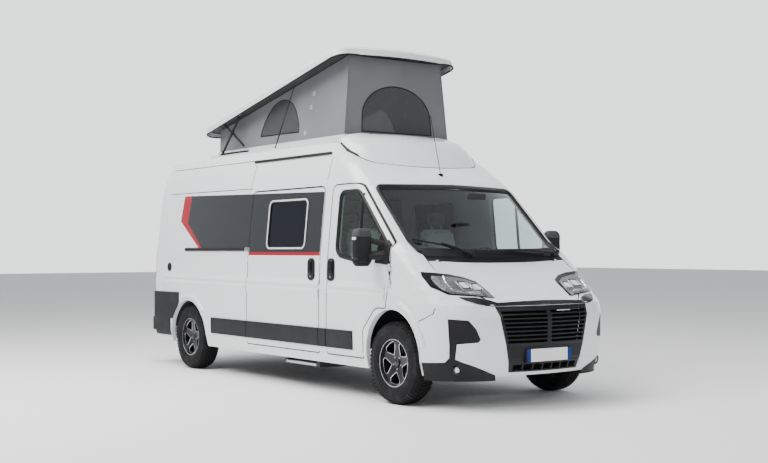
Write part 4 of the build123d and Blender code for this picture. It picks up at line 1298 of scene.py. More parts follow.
def ring_of(name: str, item: Mesh, count: int, radius: float, finish: Finish,
            turn: float = 0.0) -> Mesh:
    """Copies of a small shape round the Z axis, its own X pointing outwards.

    Args:
        name: Name of the mesh.
        item: The shape that repeats.
        count: How many.
        radius: Radius of the ring.
        finish: Its finish.
        turn: Angle of the first one, in radians.

    Returns:
        The ring's mesh.
    """
    sample = linked(f"{name} item", item)
    shape = NodeShape(name)
    number = shape.value("Count", "Int", count)
    reach = shape.value("Radius", "Float", radius)
    first = shape.value("First angle", "Float", turn)
    line = shape.node("GeometryNodeMeshLine", {}, {"Count": number, "Offset": (0.0, 0.0, 0.0)})
    index = shape.node("GeometryNodeInputIndex")
    share = shape.node("ShaderNodeMath", {"operation": "DIVIDE"}, {0: index.outputs[0], 1: number})
    angle = shape.node("ShaderNodeMath", {"operation": "MULTIPLY_ADD"},
                       {0: share.outputs[0], 1: 2 * math.pi, 2: first})
    spin = shape.node("ShaderNodeCombineXYZ", {}, {"Z": angle.outputs[0]})
    source = shape.node("GeometryNodeObjectInfo", {}, {"Object": sample})
    arm = shape.node("ShaderNodeCombineXYZ", {}, {"X": reach})
    moved = shape.node("GeometryNodeTransform", {}, {"Geometry": source.outputs["Geometry"],
                                                     "Translation": arm.outputs[0]})
    copies = shape.node("GeometryNodeInstanceOnPoints", {},
                        {"Points": line.outputs[0], "Instance": moved.outputs[0],
                         "Rotation": spin.outputs[0]})
    made = shape.mesh(name, copies.outputs[0], finish.material())
    bpy.data.objects.remove(sample)
    return made


def small(name: str, bag: MeshBag) -> Mesh:
    """The bag as a plain mesh to repeat, its faces outwards.

    Args:
        name: Name of the mesh.
        bag: The shape.

    Returns:
        The mesh.
    """
    mesh = raw_mesh(name, bag.verts, bag.faces)
    with editing(mesh) as work:
        bmesh.ops.recalc_face_normals(work, faces=work.faces)
    return mesh


# ---- dressing the frame
def paint(finish: Finish, *nodes: str) -> None:
    """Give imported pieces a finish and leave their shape.

    Args:
        finish: The finish.
        *nodes: Names of the pieces.
    """
    for name in nodes:
        for place in frame["nodes"][name].material_slots:
            place.material = finish.material()


def dress(node: str, finish: Finish, angle: float = 28.0, edge: float = 0.0) -> None:
    """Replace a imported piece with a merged, smoothly shaded copy.

    Args:
        node: Name of the piece.
        finish: Its finish.
        angle: Edges sharper than this stay sharp.
        edge: Width of the rounding of its sharp edges.
    """
    source = frame["nodes"][node]
    made = adopt(f"{node} finished", plain_copy(source.data), finish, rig.body_of(source)[0], angle)
    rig.replaces(made, node)
    if edge:
        bevelled(made, edge)


def plain_copy(mesh: Mesh) -> Mesh:
    """Copy of a mesh's faces alone, its flat areas joined into single faces.

    Args:
        mesh: The mesh.

    Returns:
        The copy.
    """
    made = raw_mesh(f"{mesh.name} copy", [v.co for v in mesh.vertices], [p.vertices for p in mesh.polygons])
    with editing(made) as work:
        bmesh.ops.remove_doubles(work, verts=work.verts, dist=MERGE_DISTANCE)
        bmesh.ops.dissolve_limit(work, angle_limit=math.radians(FLAT_ANGLE), verts=work.verts,
                                 edges=work.edges)
    return made


# ---- stage and camera
@dataclass
class Studio:
    """Floor, lights and camera."""

    eye: Point = (-7.240, -10.659, 1.370)
    yaw: float = 35.492
    pitch: float = 0.897
    roll: float = -0.055
    lens: float = 56.04
    tone: tuple[float, float, float] = (0.90, 0.90, 0.90)
    sky_tone: Point = (0.96, 0.98, 1.0)
    sky_near: float = 0.42
    sky_far: float = 2.0
    sky_turn: Vec2 = (0.45, 0.92)
    floor_reach: float = 60.0
    lights: tuple[tuple[str, Point, Point, Vec2, float, Point], ...] = (
        ("key light", (-9.0, -4.5, 8.5), (0, 0, 1.4), (7.0, 5.0), 620.0, (1.0, 0.98, 0.96)),
        ("fill light", (3.0, -11.0, 5.0), (0, -1, 1.2), (8.0, 4.0), 330.0, (0.97, 0.98, 1.0)),
        ("top strip", (-4.2, 0.5, 8.8), (0, 0.0, 0.6), (4.6, 10.0), 1600.0, (1.0, 1.0, 1.0)))

    def build(self) -> None:
        """Make them all."""
        self._floor()
        self._lights()
        self._camera()

    def _floor(self) -> None:
        """Make a wide plain floor and a pale sky."""
        shader = Shader("studio floor")
        shader.set(Base_Color=self.tone, Roughness=0.75)
        reach = self.floor_reach
        mesh = raw_mesh("floor", [(-reach, -reach, 0), (reach, -reach, 0), (reach, reach, 0),
                                  (-reach, reach, 0)],
                        [(0, 1, 2, 3)])
        mesh.materials.append(shader.material)
        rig.stage(linked("floor", mesh))
        world = bpy.data.worlds.new("studio sky")
        world.use_nodes = True
        kit = NodeKit(world.node_tree)
        yaw = math.radians(self.yaw)
        facing = kit.node("ShaderNodeVectorMath", {"operation": "DOT_PRODUCT"}, {
            0: kit.node("ShaderNodeTexCoord").outputs["Generated"], 1: (math.sin(yaw), math.cos(yaw), 0.0)})
        strength = kit.node("ShaderNodeMapRange", {"interpolation_type": "SMOOTHSTEP"}, {
            "Value": facing.outputs["Value"], "From Min": self.sky_turn[0], "From Max": self.sky_turn[1],
            "To Min": self.sky_near, "To Max": self.sky_far})
        sky = world.node_tree.nodes["Background"]
        kit.feed(sky.inputs["Color"], self.sky_tone)
        kit.feed(sky.inputs["Strength"], strength.outputs["Result"])
        bpy.context.scene.world = world

    def _lights(self) -> None:
        """Hang one large key light, a fill and a long top strip."""
        for name, place, target, size, power, colour in self.lights:
            light = bpy.data.lights.new(name, "AREA")
            light.shape = "RECTANGLE"
            light.size, light.size_y = size
            light.energy = power
            light.color = colour
            lamp = linked(name, light)
            lamp.location = place
            lamp.rotation_euler = (Vector(target) - Vector(place)).to_track_quat("-Z", "Y").to_euler()

    def _camera(self) -> None:
        """Set the camera."""
        yaw, pitch, roll = (math.radians(a) for a in (self.yaw, self.pitch, self.roll))
        ahead = Vector((math.sin(yaw) * math.cos(pitch), math.cos(yaw) * math.cos(pitch), math.sin(pitch)))
        right = ahead.cross(Vector((0, 0, 1))).normalized()
        over = right.cross(ahead)
        right, over = (right * math.cos(roll) + over * math.sin(roll),
                       over * math.cos(roll) - right * math.sin(roll))
        camera = linked("camera", bpy.data.cameras.new("camera"))
        camera.data.lens = self.lens
        camera.data.sensor_width = 36.0
        camera.data.sensor_fit = "HORIZONTAL"
        camera.data.clip_end = 200.0
        camera.matrix_world = Matrix((
            (right.x, over.x, -ahead.x, self.eye[0]), (right.y, over.y, -ahead.y, self.eye[1]),
            (right.z, over.z, -ahead.z, self.eye[2]), (0, 0, 0, 1)))
        bpy.context.scene.camera = camera
# ---- sub-assemblies
@dataclass
class BodyFinish:
    """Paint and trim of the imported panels."""

    copies: tuple[tuple[Finish, tuple[str, ...]], ...] = (
        (WHITE, ("roof_panel", "wing_left", "wing_right", "cab_door_left", "cab_door_right", "rear_door_left",
                 "rear_door_right", "bonnet", "fairing", "front_bumper", "screen_frame")),
        (WHITE_DECAL, ("side_panel_left", "side_panel_right", "sliding_door")),
        (TRIM_BLACK, ("rear_bumper", "side_mouldings", "bumper_inserts", "scuttle", "door_trim_left",
                      "door_trim_right", "aerial")),
        (SHELL_WHITE, ("roof_shell", "deck_frame")),
        (GLOSS, ("headlamps",)),
        (CAB_GLASS, ("cab_glass_left", "cab_glass_right")),
        (PRIVACY, ("rear_glass_left", "rear_glass_right", "side_glass")),
        (SCREEN, ("windscreen",)),
        (RED_LENS, ("tail_lamps",)),
        (DARK_STEEL, ("lift_arms", "stay_arms", "lift_rails")))
    rounded_copies: tuple[tuple[str, Finish, float], ...] = (
        ("grille", SATIN_GREY, 0.002), ("dashboard", DASH, 0.012), ("side_step", ALUMINIUM, 0.002),
        ("furniture", OAK, 0.003))
    painted: tuple[tuple[Finish, tuple[str, ...]], ...] = (
        (UNDERSEAL, ("chassis_rails", "floor_pan", "rear_arches", "front_subframe")),
        (IRON, ("rear_axle", "knuckle_left", "knuckle_right", "engine_block")),
        (LINING, ("bulkhead",)),
        (SEAT_DARK, ("seat_bases",)))
    wheel_angle: float = 60.0

    def build(self) -> None:
        """Dress the outside panels, the glass and what lies below."""
        for finish, nodes in self.copies:
            for node in nodes:
                dress(node, finish)
        for node, finish, edge in self.rounded_copies:
            dress(node, finish, edge=edge)
        dress("steering_wheel", DASH, angle=self.wheel_angle)
        for finish, nodes in self.painted:
            paint(finish, *nodes)


@dataclass
class Glazing:
    """Seals, frames and pillars of the windows, as (y, z, radius) corners, or (x, z, radius) on the ends."""

    skin: Skin
    cab: Corners = (
        (-1.130, 1.330, 0.11), (-1.130, 1.925, 0.06), (-1.430, 1.925, 0.11), (-1.925, 1.440, 0.025),
        (-1.925, 1.330, 0.02), (-1.500, 1.275, 0.20))
    pillar: Line = ((-1.497, 1.27), (-1.497, 1.90))
    living: Corners = (
        (-0.55, 1.39, 0.06), (-0.55, 1.88, 0.06), (0.20, 1.88, 0.06), (0.20, 1.39, 0.06))
    rear: Corners = (
        (0.13, 1.33, 0.06), (0.13, 1.93, 0.06), (0.742, 1.93, 0.06), (0.77, 1.33, 0.06))
    screen: Corners = (
        (-0.838, 1.36, 0.05), (-0.812, 1.962, 0.05), (0.0, 1.975, 2.0), (0.812, 1.962, 0.05),
        (0.838, 1.36, 0.05))
    screen_base: Line = (
        (-0.855, 1.352), (-0.840, 1.430), (-0.795, 1.388), (-0.50, 1.380), (0.0, 1.376), (0.50, 1.380),
        (0.795, 1.388), (0.840, 1.430), (0.855, 1.352), (0.79, 1.312), (0.0, 1.296), (-0.79, 1.312))
    seal_width: float = 0.046
    frame_width: float = 0.020
    wall_at: float = 1.0021
    wall_height: float = 1.36
    wall_lean: float = 0.101

    def build(self) -> None:
        """Make the window surrounds."""
        living = rounded(self.living)
        for side in Side:
            onto, wall, word = self.skin.side(side), self._wall(side), side.word
            door = f"cab_door_{word}"
            moulding(f"cab_window_seal_{word}", rounded(self.cab), bead(self.seal_width, 0.009), onto, SEAL_AND_GAP_SHADE,
                     door)
            moulding(f"cab_window_pillar_{word}", self.pillar, bead(0.038, 0.006), onto, SEAL_AND_GAP_SHADE, door,
                     closed=False)
            moulding(f"living_window_gasket_{word}", living, bead(0.040, 0.005), wall, SEAL_AND_GAP_SHADE)
            moulding(f"living_window_frame_{word}", living, bead(self.frame_width, 0.011), wall, SHELL_WHITE)
            moulding(f"rear_window_seal_{word}", rounded(mirrored(self.rear, side)), bead(0.034, 0.006),
                     self.skin.end(False), SEAL_AND_GAP_SHADE, f"rear_door_{word}")
        pad("living_window_pane_left", living, -0.001, self._wall(Side.LEFT), PRIVACY, sink=0.005)
        front = self.skin.end(True)
        moulding("windscreen_edge", rounded(self.screen, closed=False), bead(0.056, 0.010), front, SEAL_AND_GAP_SHADE,
                 closed=False)
        pad("windscreen_base", self.screen_base, 0.006, front, TRIM_BLACK, gap=0.05)

    def _wall(self, side: Side) -> Project:
        """Plane of the wall round a living window, which has no glass of its own to be found on the left.

        Args:
            side: Side of the van.

        Returns:
            Function of y and z that gives a point of the wall and its outward normal.
        """
        def onto(along: float, up: float) -> tuple[Vector, Vector]:
            """Point of the wall and its outward normal."""
            out = self.wall_at - self.wall_lean * (up - self.wall_height)
            normal = Vector((side.value, 0.0, self.wall_lean)).normalized()
            return Vector((side.value * out, along, up)), normal
        return onto


@dataclass
class FrontEnd:
    """Lamps, grille, plate, fog lamps and wipers; outlines are (x, z), those of one side for the left."""

    skin: Skin
    plate: Vec2 = (0.52, 0.11)
    plate_centre: Point = (0.0, -2.990, 0.460)
    plate_band: float = 0.044
    plate_rim: float = 0.006
    plate_panel: Line = ((-0.40, 0.402), (0.40, 0.402), (0.448, 0.541), (-0.448, 0.541))
    # Outline, as (x, z), of the sheet of painted shadow behind the grille.
    grille_back: Line = (
        (-0.37, 0.33), (0.37, 0.33), (0.43, 0.56), (0.50, 0.86), (-0.50, 0.86), (-0.43, 0.56))
    band_top: Line = (
        (0.790, 0.968), (0.655, 0.962), (0.55, 0.940), (0.50, 0.917), (0.25, 0.925), (0.0, 0.929))
    band_low: Line = (
        (0.0, 0.892), (0.30, 0.892), (0.545, 0.889), (0.62, 0.893), (0.70, 0.920), (0.76, 0.948))
    fog: Vec2 = (0.826, 0.353)
    fog_radius: float = 0.036
    lamp: Corners = (
        (0.468, 0.962, 0.01), (0.470, 1.020, 0.02), (0.492, 1.078, 0.02), (0.575, 1.112, 0.05),
        (0.70, 1.134, 0.05), (0.900, 1.150, 0.02), (0.905, 1.100, 0.03), (0.880, 1.030, 0.04),
        (0.820, 0.998, 0.04), (0.64, 0.984, 0.05))
    lamp_strip: Line = (
        (0.800, 1.143), (0.812, 1.085), (0.800, 1.025), (0.70, 1.004), (0.560, 1.000))
    lamp_cells: tuple[tuple[float, ...], ...] = ((0.665, 1.064, 0.060, 0.036), (0.545, 1.046, 0.044, 0.034))
    cell_lens: float = 0.62
    lamp_end: Line = ((0.912, 1.150), (0.938, 1.152), (0.928, 1.075), (0.905, 1.045))
    wipers: tuple[Line, ...] = (((-0.800, 1.458), (-0.566, 1.410), (-0.330, 1.335)),
                                            ((-0.235, 1.362), (0.10, 1.358), (0.60, 1.322)))
    wiper_feet: Line = ((-0.300, 1.315), (0.72, 1.318))
    blade_radius: float = 0.008
    arm_radius: float = 0.009
    pivot_radius: float = 0.020

    def build(self) -> None:
        """Make the front end."""
        front = self.skin.end(True)
        for side in Side:
            self._lamp(side, front)
            self._fog(side, front)
        band = [*self.band_top, *mirrored(reversed(self.band_top[:-1]), Side.RIGHT),
                *mirrored(reversed(self.band_low), Side.RIGHT), *self.band_low[1:]]
        pad("bonnet_band", band, 0.004, front, SATIN_GREY, gap=0.04, edge=0.0015)
        self._plate(front)
        self._wipers(front)
        # Near-black sheet behind the grille's slats: painted shadow for the shaded inside of the nose.
        pad("grille_backing", self.grille_back, -0.055, front, SHADOW, sink=0.058, gap=0.08)

    def _lamp(self, side: Side, front: Project) -> None:
        """Reflectors, light strip and cells of one headlamp.

        Args:
            side: Which lamp.
            front: Mapping onto the nose.
        """
        s, word = side.value, side.word
        path = rounded(mirrored(self.lamp, side), steps=3)
        pad(f"lamp_reflector_{word}", path, 0.001, front, CHROME, gap=0.03)
        moulding(f"lamp_light_strip_{word}", mirrored(self.lamp_strip, side), bead(0.016, 0.006), front,
                 INDICATOR, closed=False, gap=0.02)
        for number, (x, z, half_w, half_h) in enumerate(self.lamp_cells):
            lean = ((-1, -1), (-0.8, 1), (1, 1), (0.8, -1))
            cell = rounded([(s * (x + a * half_w), z + b * half_h, 0.018) for a, b in lean], steps=4)
            pad(f"lamp_cell_{word}_{number}", cell, 0.0025, front, GLOSS, gap=0.03)
            moulding(f"lamp_bezel_{word}_{number}", cell, bead(0.009, 0.006), front, CHROME, gap=0.02)
            inner = [(s * x + (u - s * x) * self.cell_lens, z + (v - z) * self.cell_lens) for u, v in cell]
            pad(f"lamp_lens_{word}_{number}", inner, 0.006, front, CLEAR_LENS, gap=0.02)
        pad(f"lamp_side_reflector_{word}", mirrored(self.lamp_end, side), 0.002, front, GLOSS, gap=0.03)

    def _fog(self, side: Side, front: Project) -> None:
        """Round fog lamp in its bezel.

        Args:
            side: Which lamp.
            front: Mapping onto the nose.
        """
        centre, normal = front(side.value * self.fog[0], self.fog[1])
        outward = (normal + Vector((0, -0.8, 0))).normalized()
        place = Matrix.Translation(centre) @ outward.to_track_quat("X", "Z").to_matrix().to_4x4()
        bezel, lens = MeshBag(), MeshBag()
        r = self.fog_radius
        bezel.lathe([(-0.02, r * 0.8), (0.004, r * 0.8), (0.009, r), (0.004, r * 1.25), (-0.02, r * 1.3)],
                    place, 32)
        lens.lathe([(-0.015, 0.0), (-0.015, r * 0.82), (-0.002, r * 0.82), (0.003, r * 0.5), (0.005, 0.0)],
                   place, 32)
        bezel.make(f"fog_bezel_{side.word}", GLOSS)
        lens.make(f"fog_lens_{side.word}", CLEAR_LENS)

    def _plate(self, front: Project) -> None:
        """Blank number plate on its panel.

        Args:
            front: Mapping onto the nose.
        """
        pad("plate_panel", self.plate_panel, 0.002, front, TRIM_BLACK)
        x, y, z = self.plate_centre
        half_w, half_h = self.plate[0] / 2, self.plate[1] / 2
        rim, band, back = self.plate_rim, self.plate_band, y + 0.002
        holder, face, ends = MeshBag(), MeshBag(), MeshBag()
        holder.block((x - half_w - rim, back, z - half_h - rim),
                     (x + half_w + rim, y + 0.05, z + half_h + rim))
        for bag, low, high in ((face, band - half_w, half_w - band), (ends, -half_w, band - half_w),
                               (ends, half_w - band, half_w)):
            bag.block((x + low, y - 0.0022, z - half_h), (x + high, back, z + half_h))
        bevelled(holder.make("plate_holder", TRIM_BLACK), 0.003)
        face.make("plate_face", PLATE_WHITE)
        ends.make("plate_ends", PLATE_BLUE)

    def _wipers(self, front: Project) -> None:
        """Two wipers at rest on the glass.

        Args:
            front: Mapping onto the windscreen.
        """
        for number, (blade, foot) in enumerate(zip(self.wipers, self.wiper_feet)):
            rubber = MeshBag()
            points = [front(x, z) for x, z in spaced(blade, 0.06, closed=False)]
            rubber.tube([p + n * 0.016 for p, n in points], self.blade_radius, 8)
            start, normal = front(*foot)
            middle, up = front(*blade[1])
            rubber.tube([start + normal * 0.006, start + normal * 0.034,
                         (start + middle) / 2 + normal * 0.046, middle + up * 0.030], self.arm_radius, 8)
            rubber.tube([start - normal * 0.004, start + normal * 0.036], self.pivot_radius, 14)
            rubber.make(f"wiper_{number}", TRIM_BLACK)


@dataclass
class Wheel:
    """One wheel: treaded tyre, forked alloy rim, brake disc and bolts; its own X axis points outwards."""

    corner: str
    centre: Point
    outward: int
    turn: float = 31.0
    tyre_radius: float = 0.368
    tyre_half: float = 0.1125
    rim_radius: float = 0.2145
    barrel_half: float = 0.095
    face: float = 0.062
    face_radius: float = 0.2005
    dish: float = 0.010
    disc_radius: float = 0.150
    spokes: int = 5
    lugs: int = 58
    # Inner edge, outer edge, first block in steps, lean and share of the step, for each tread row.
    rows: tuple[tuple[float, ...], ...] = (
        (-0.1045, -0.0665, 0.0, 0.10, 0.60), (-0.0605, -0.024, 0.5, 0.25, 0.74),
        (-0.018, 0.018, 0.1, -0.30, 0.78), (0.024, 0.0605, 0.6, 0.25, 0.74),
        (0.0665, 0.1045, 0.25, 0.10, 0.60))
    bolt_circle: float = 0.057
    bolt_radius: float = 0.0095
    bolts: int = 5
    opening: Corners = (
        (0.0, 0.078, 0.014), (0.074, 0.148, 0.035), (0.064, 0.184, 0.018), (0.0, 0.194, 0.4),
        (-0.064, 0.184, 0.018), (-0.074, 0.148, 0.035))
    bright_section: Line = (
        (-0.0035, -0.006), (-0.0035, 0.0012), (0.0, 0.0024), (0.0035, 0.0012), (0.0035, -0.006))

    @property
    def place(self) -> Matrix:
        """Turns the wheel's own axes, X outwards, to the frame."""
        flip = Matrix.Identity(4) if self.outward > 0 else Matrix.Rotation(math.pi, 4, "Z")
        return Matrix.Translation(self.centre) @ flip

    @property
    def upright(self) -> Matrix:
        """Turns a ring about Z into a ring about the axle."""
        return Matrix.Rotation(math.pi / 2, 4, "Y")

    @property
    def body(self) -> str:
        """The body that the wheel is."""
        return f"wheel_{self.corner}"

    def build(self) -> None:
        """Make the wheel."""
        self._tyre()
        self._rim()
        self._hub()

    def _tyre(self) -> None:
        """Make the carcass with its raised rings, then the tread."""
        half, r, foot = self.tyre_half, self.tyre_radius, self.rim_radius + 0.001
        flank = [(-half + 0.020, foot), (-half + 0.010, foot + 0.010), (-half + 0.004, foot + 0.030),
                 (-half + 0.0035, foot + 0.034), (-half, foot + 0.040), (-half, foot + 0.072),
                 (-half + 0.003, foot + 0.078), (-half + 0.006, r - 0.050), (-half + 0.014, r - 0.026),
                 (-half + 0.030, r - 0.011), (-half + 0.050, r - 0.010)]
        carcass = MeshBag()
        carcass.lathe(flank + [(-x, radius) for x, radius in reversed(flank)], self.place, 96)
        made = carcass.make(f"tyre_{self.corner}_carcass", TYRE, self.body)
        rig.replaces(made, f"tyre_{self.corner}")
        tread = MeshBag()
        for number, row in enumerate(self.rows):
            mesh = self._tread_row(f"tread_{self.corner}_{number}", *row)
            tread.add([v.co.copy() for v in mesh.vertices], [tuple(p.vertices) for p in mesh.polygons])
        tread.make(f"tyre_{self.corner}_tread", TYRE, self.body, smooth=None)

    def _tread_row(self, name: str, x0: float, x1: float, shift: float, slant: float,
                   wide: float) -> Mesh:
        """One ring of tread blocks.

        Args:
            name: Name of its mesh.
            x0: Its inner edge across the tyre.
            x1: Its outer edge.
            shift: Angle of the first block, in steps.
            slant: How far a block leans along the tread.
            wide: Share of the step that a block fills.

        Returns:
            The ring's mesh, placed in the frame.
        """
        step = 2 * math.pi / self.lugs
        reach = step * self.tyre_radius * wide / 2
        lean = slant * (x1 - x0)
        corners = []
        for x, lead in ((x0, -lean), (x1, lean)):
            drop = 0.020 if abs(x) > self.tyre_half - 0.02 else 0.0015
            for side in (-reach, reach):
                corners += [(-0.016 - drop, side + lead, x), (-drop, side * 0.92 + lead, x)]
        block = MeshBag()
        block.add(corners, BLOCK_FACES)
        made = ring_of(name, small(f"{name}_block", block), self.lugs, self.tyre_radius + 0.0012, TYRE,
                       shift * step)
        made.transform(self.place @ self.upright)
        return made

    def _rim(self) -> None:
        """Make the barrel, the pierced face with bright edges, and the brake disc behind."""
        r, face, half = self.rim_radius, self.face, self.barrel_half
        barrel, bright, disc = MeshBag(), MeshBag(), MeshBag()
        barrel.lathe([(-half, r - 0.016), (-half, r), (half - 0.004, r), (half, r - 0.003),
                      (half - 0.002, r - 0.008), (face + 0.004, 0.197), (face - 0.030, 0.192),
                      (-half + 0.01, 0.190)], self.place, 80)
        bright.lathe([(half - 0.004, r - 0.0065), (half + 0.0005, r - 0.0055), (half + 0.0005, r - 0.0015),
                      (half - 0.004, r - 0.0005)], self.place, 80)
        back, front = face - 0.075, face - 0.062
        disc.lathe([(back, 0.0), (back, self.disc_radius), (front, self.disc_radius), (front, 0.0)],
                   self.place, 64)
        made = barrel.make(f"rim_{self.corner}_barrel", RIM_BLACK, self.body)
        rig.replaces(made, f"rim_{self.corner}")
        bright.make(f"rim_{self.corner}_edge", RIM_BRIGHT, self.body)
        disc.make(f"brake_disc_{self.corner}", IRON, self.body)
        onto = self._face_map()
        circle = arc_points((0.0, 0.0), self.face_radius, 0, 355, 71)
        opening = rounded(self.opening, steps=5)
        holes = []
        for number in range(self.spokes):
            turn = math.radians(self.turn + 360 / self.spokes * number)
            holes.append([(u * math.cos(turn) - v * math.sin(turn), u * math.sin(turn) + v * math.cos(turn))
                          for u, v in opening])
        pad(f"rim_{self.corner}_face", circle, 0.0, onto, RIM_BLACK, self.body, sink=0.020, gap=0.022,
            holes=holes)
        for number, hole in enumerate(holes):
            moulding(f"rim_{self.corner}_bright_{number}", hole, self.bright_section, onto, RIM_BRIGHT,
                     self.body, gap=0.02)

    def _face_map(self) -> Project:
        """Map (u, v) to the dished face of the rim.

        Returns:
            The mapping.
        """
        place, start = self.place, self.face - 0.004

        def onto(u: float, v: float) -> tuple[Vector, Vector]:
            """Point of the face and the axle's direction."""
            depth = start - self.dish * math.cos(math.pi * min(1.0, math.hypot(u, v) / 0.2))
            return place @ Vector((depth, u, v)), place.to_3x3() @ Vector((1, 0, 0))

        return onto

    def _hub(self) -> None:
        """Make the cap and its bolts."""
        cap, bolt = MeshBag(), MeshBag()
        x = self.face
        cap.lathe([(x - 0.02, 0.0), (x - 0.02, 0.034), (x - 0.004, 0.034), (x + 0.001, 0.030),
                   (x + 0.003, 0.012), (x + 0.0035, 0.0)], self.place, 40)
        cap.make(f"hub_cap_{self.corner}", GLOSS, self.body)
        turns = [math.pi / 3 * k for k in range(6)]
        bolt.add([(self.bolt_radius * math.cos(t), self.bolt_radius * math.sin(t), z)
                  for z in (-0.014, 0.0) for t in turns], band_faces(2, 6))
        name = f"bolts_{self.corner}"
        ring = ring_of(name, small(f"bolt_{self.corner}", bolt), self.bolts, self.bolt_circle, STEEL)
        ring.transform(self.place @ Matrix.Translation((x - 0.006, 0, 0)) @ self.upright)
        adopt(name, ring, STEEL, self.body, smooth=None)


@dataclass
class PopTop:
    """Canvas with its windows, the raised shell's trim, and its stay cords."""

    base: float = 2.5262
    half: float = 0.651
    top_half_front: float = 0.577
    top_half_rear: float = 0.641
    front: Vec2 = (-0.744, -0.718)
    rear: Vec2 = (1.890, 1.898)
    top_front: float = 3.328
    top_rear: float = 2.772
    sag: float = 0.012
    folded: float = 0.03
    arch_centre: float = 2.725
    arch: Vec2 = (0.432, 0.325)
    arch_foot: Vec2 = (0.440, 2.570)
    side_window: Line = (
        (0.970, 2.635), (0.955, 2.690), (0.900, 2.790), (0.815, 2.882), (0.710, 2.953), (0.600, 2.990),
        (0.500, 2.997), (0.400, 2.980), (0.310, 2.930), (0.240, 2.855), (0.185, 2.760), (0.155, 2.680),
        (0.150, 2.622))
    patches: Line = ((-0.10, 3.005), (-0.055, 2.865), (0.02, 2.600))
    patch: Vec2 = (0.022, 0.024)
    # The shell is described shut, as (y, z), then carried about a point to its raised place.
    tilt: float = -12.0
    shut_at: Vec2 = (1.0665, 2.5579)
    raised_at: Vec2 = (1.228, 2.902)
    rim_half: Vec2 = (0.768, 0.805)
    rim_ends: Vec2 = (-1.0085, 1.9285)
    rim_bow: float = 0.055
    rim_round: float = 0.15
    stay_foot: Point = (0.768, 0.423, 2.462)
    stay_head: Point = (0.715, 0.121, 3.085)
    stay_sleeve: float = 0.40
    # Radii of a cord's sleeve, of the cord and of its foot; half length of the foot and its drop.
    stay_radii: Corner = (0.0065, 0.0042, 0.011)
    stay_pin: float = 0.016
    stay_drop: float = 0.004
    stay_anchor: float = 2.45
    stay_folded: float = 0.10
    # Inset and heights on the shut shell of the rubber and of the board inside.
    seal_line: Vec2 = (0.010, 2.5445)
    seal_radius: float = 0.011
    lining_inset: float = 0.034
    lining_heights: Vec2 = (2.588, 2.584)
    # Height of the cloth's ripple, and its waves along and up a side wall.
    ripple: Corner = (0.0035, 34.0, 5.0)
    side_lean: float = 0.08

    @property
    def front_window(self) -> list[Vec2]:
        """Outline of the front window, an arch on a straight foot.

        Returns:
            Its (x, z) points.
        """
        turns = [math.radians(a) for a in range(0, 181, 9)]
        (x, z), (half, rise) = self.arch_foot, self.arch
        arch = [(half * math.cos(t), self.arch_centre + rise * math.sin(t)) for t in turns]
        return [(-x, z), (x, z), *arch]

    def build(self) -> None:
        """Make the pop-top's soft pieces and fittings."""
        canvas = self._canvas()
        parts = self._nets() + self._seams()
        for thing in (canvas, *parts):
            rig.squash(thing, "roof_lift", axis=(0, 0, 1), anchor=(0, 0, self.base), keep=self.folded)
        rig.replaces(canvas, "tent")
        run = 2 * (self.half + self.top_half_front) + 2 * (self.rear[0] - self.front[0])
        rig.sheet(canvas, flat=(run, self.top_front - self.base), held="stretched", rests_on=["deck_frame"],
                 area=sum(polygon.area for polygon in canvas.data.polygons), with_pieces=parts)
        self._shell_trim()
        self._stays()

    def side_wall(self, side: Side) -> Project:
        """Map (y, z) to a side wall.

        Args:
            side: Which wall.

        Returns:
            The mapping.
        """
        def onto(y: float, z: float) -> tuple[Vector, Vector]:
            """Point of the slack wall and its outward normal."""
            along = min(1.0, max(0.0, (y - self.front[0]) / (self.rear[0] - self.front[0])))
            share = (y - self.front[1]) / (self.rear[1] - self.front[1])
            top = self.top_front + (self.top_rear - self.top_front) * share
            up = min(1.0, max(0.0, (z - self.base) / (top - self.base)))
            top_half = self.top_half_front + (self.top_half_rear - self.top_half_front) * along
            fold = math.sin(math.pi * along) * math.sin(math.pi * up)
            height, waves_along, waves_up = self.ripple
            ripple = height * math.sin(along * waves_along + up * waves_up) * fold
            x = self.half + (top_half - self.half) * up - self.sag * fold + ripple
            return Vector((side.value * x, y, z)), Vector((side.value, 0, self.side_lean)).normalized()

        return onto

    def end_wall(self, front: bool) -> Project:
        """Map (x, z) to the front or rear wall.

        Args:
            front: The front wall if true.

        Returns:
            The mapping.
        """
        low, high = self.front if front else self.rear
        top = self.top_front if front else self.top_rear
        sign = -1 if front else 1

        def onto(x: float, z: float) -> tuple[Vector, Vector]:
            """Point of the slack wall and its outward normal."""
            up = min(1.0, max(0.0, (z - self.base) / (top - self.base)))
            fold = math.cos(math.pi / 2 * min(1.0, abs(x) / 0.66)) * math.sin(math.pi * up)
            y = low + (high - low) * up - sign * self.sag * fold
            return Vector((x, y, z)), Vector((0, sign, 0))

        return onto

    def _canvas(self) -> Object:
        """Make the four walls as one sheet with its window openings.

        Returns:
            The sheet.
        """
        bag = MeshBag()
        for side in Side:
            outline = [(self.front[0], self.base), (self.rear[0], self.base), (self.rear[1], self.top_rear),
                       (self.front[1], self.top_front)]
            self._wall(bag, outline, self.side_wall(side), [self.side_window], side is Side.LEFT)
        for is_front, top_half, top in ((True, self.top_half_front, self.top_front),
                                        (False, self.top_half_rear, self.top_rear)):
            outline = [(-self.half, self.base), (self.half, self.base), (top_half, top), (-top_half, top)]
            self._wall(bag, outline, self.end_wall(is_front), [self.front_window] if is_front else [],
                       is_front)
        return piece("canvas", bag.verts, bag.faces, CANVAS, smooth=60.0)

    @staticmethod
    def _wall(bag: MeshBag, outline: Sequence[Vec2], onto: Project, holes: Sequence[Sequence[Vec2]],
              keep: bool) -> None:
        """Add a wall less its holes to the sheet; keep tells whether its faces already point outwards."""
        points, faces, _ = plan_faces(spaced(outline, 0.06), holes, 0.06)
        bag.add([onto(u, v)[0] for u, v in points], faces if keep else [tuple(reversed(f)) for f in faces])

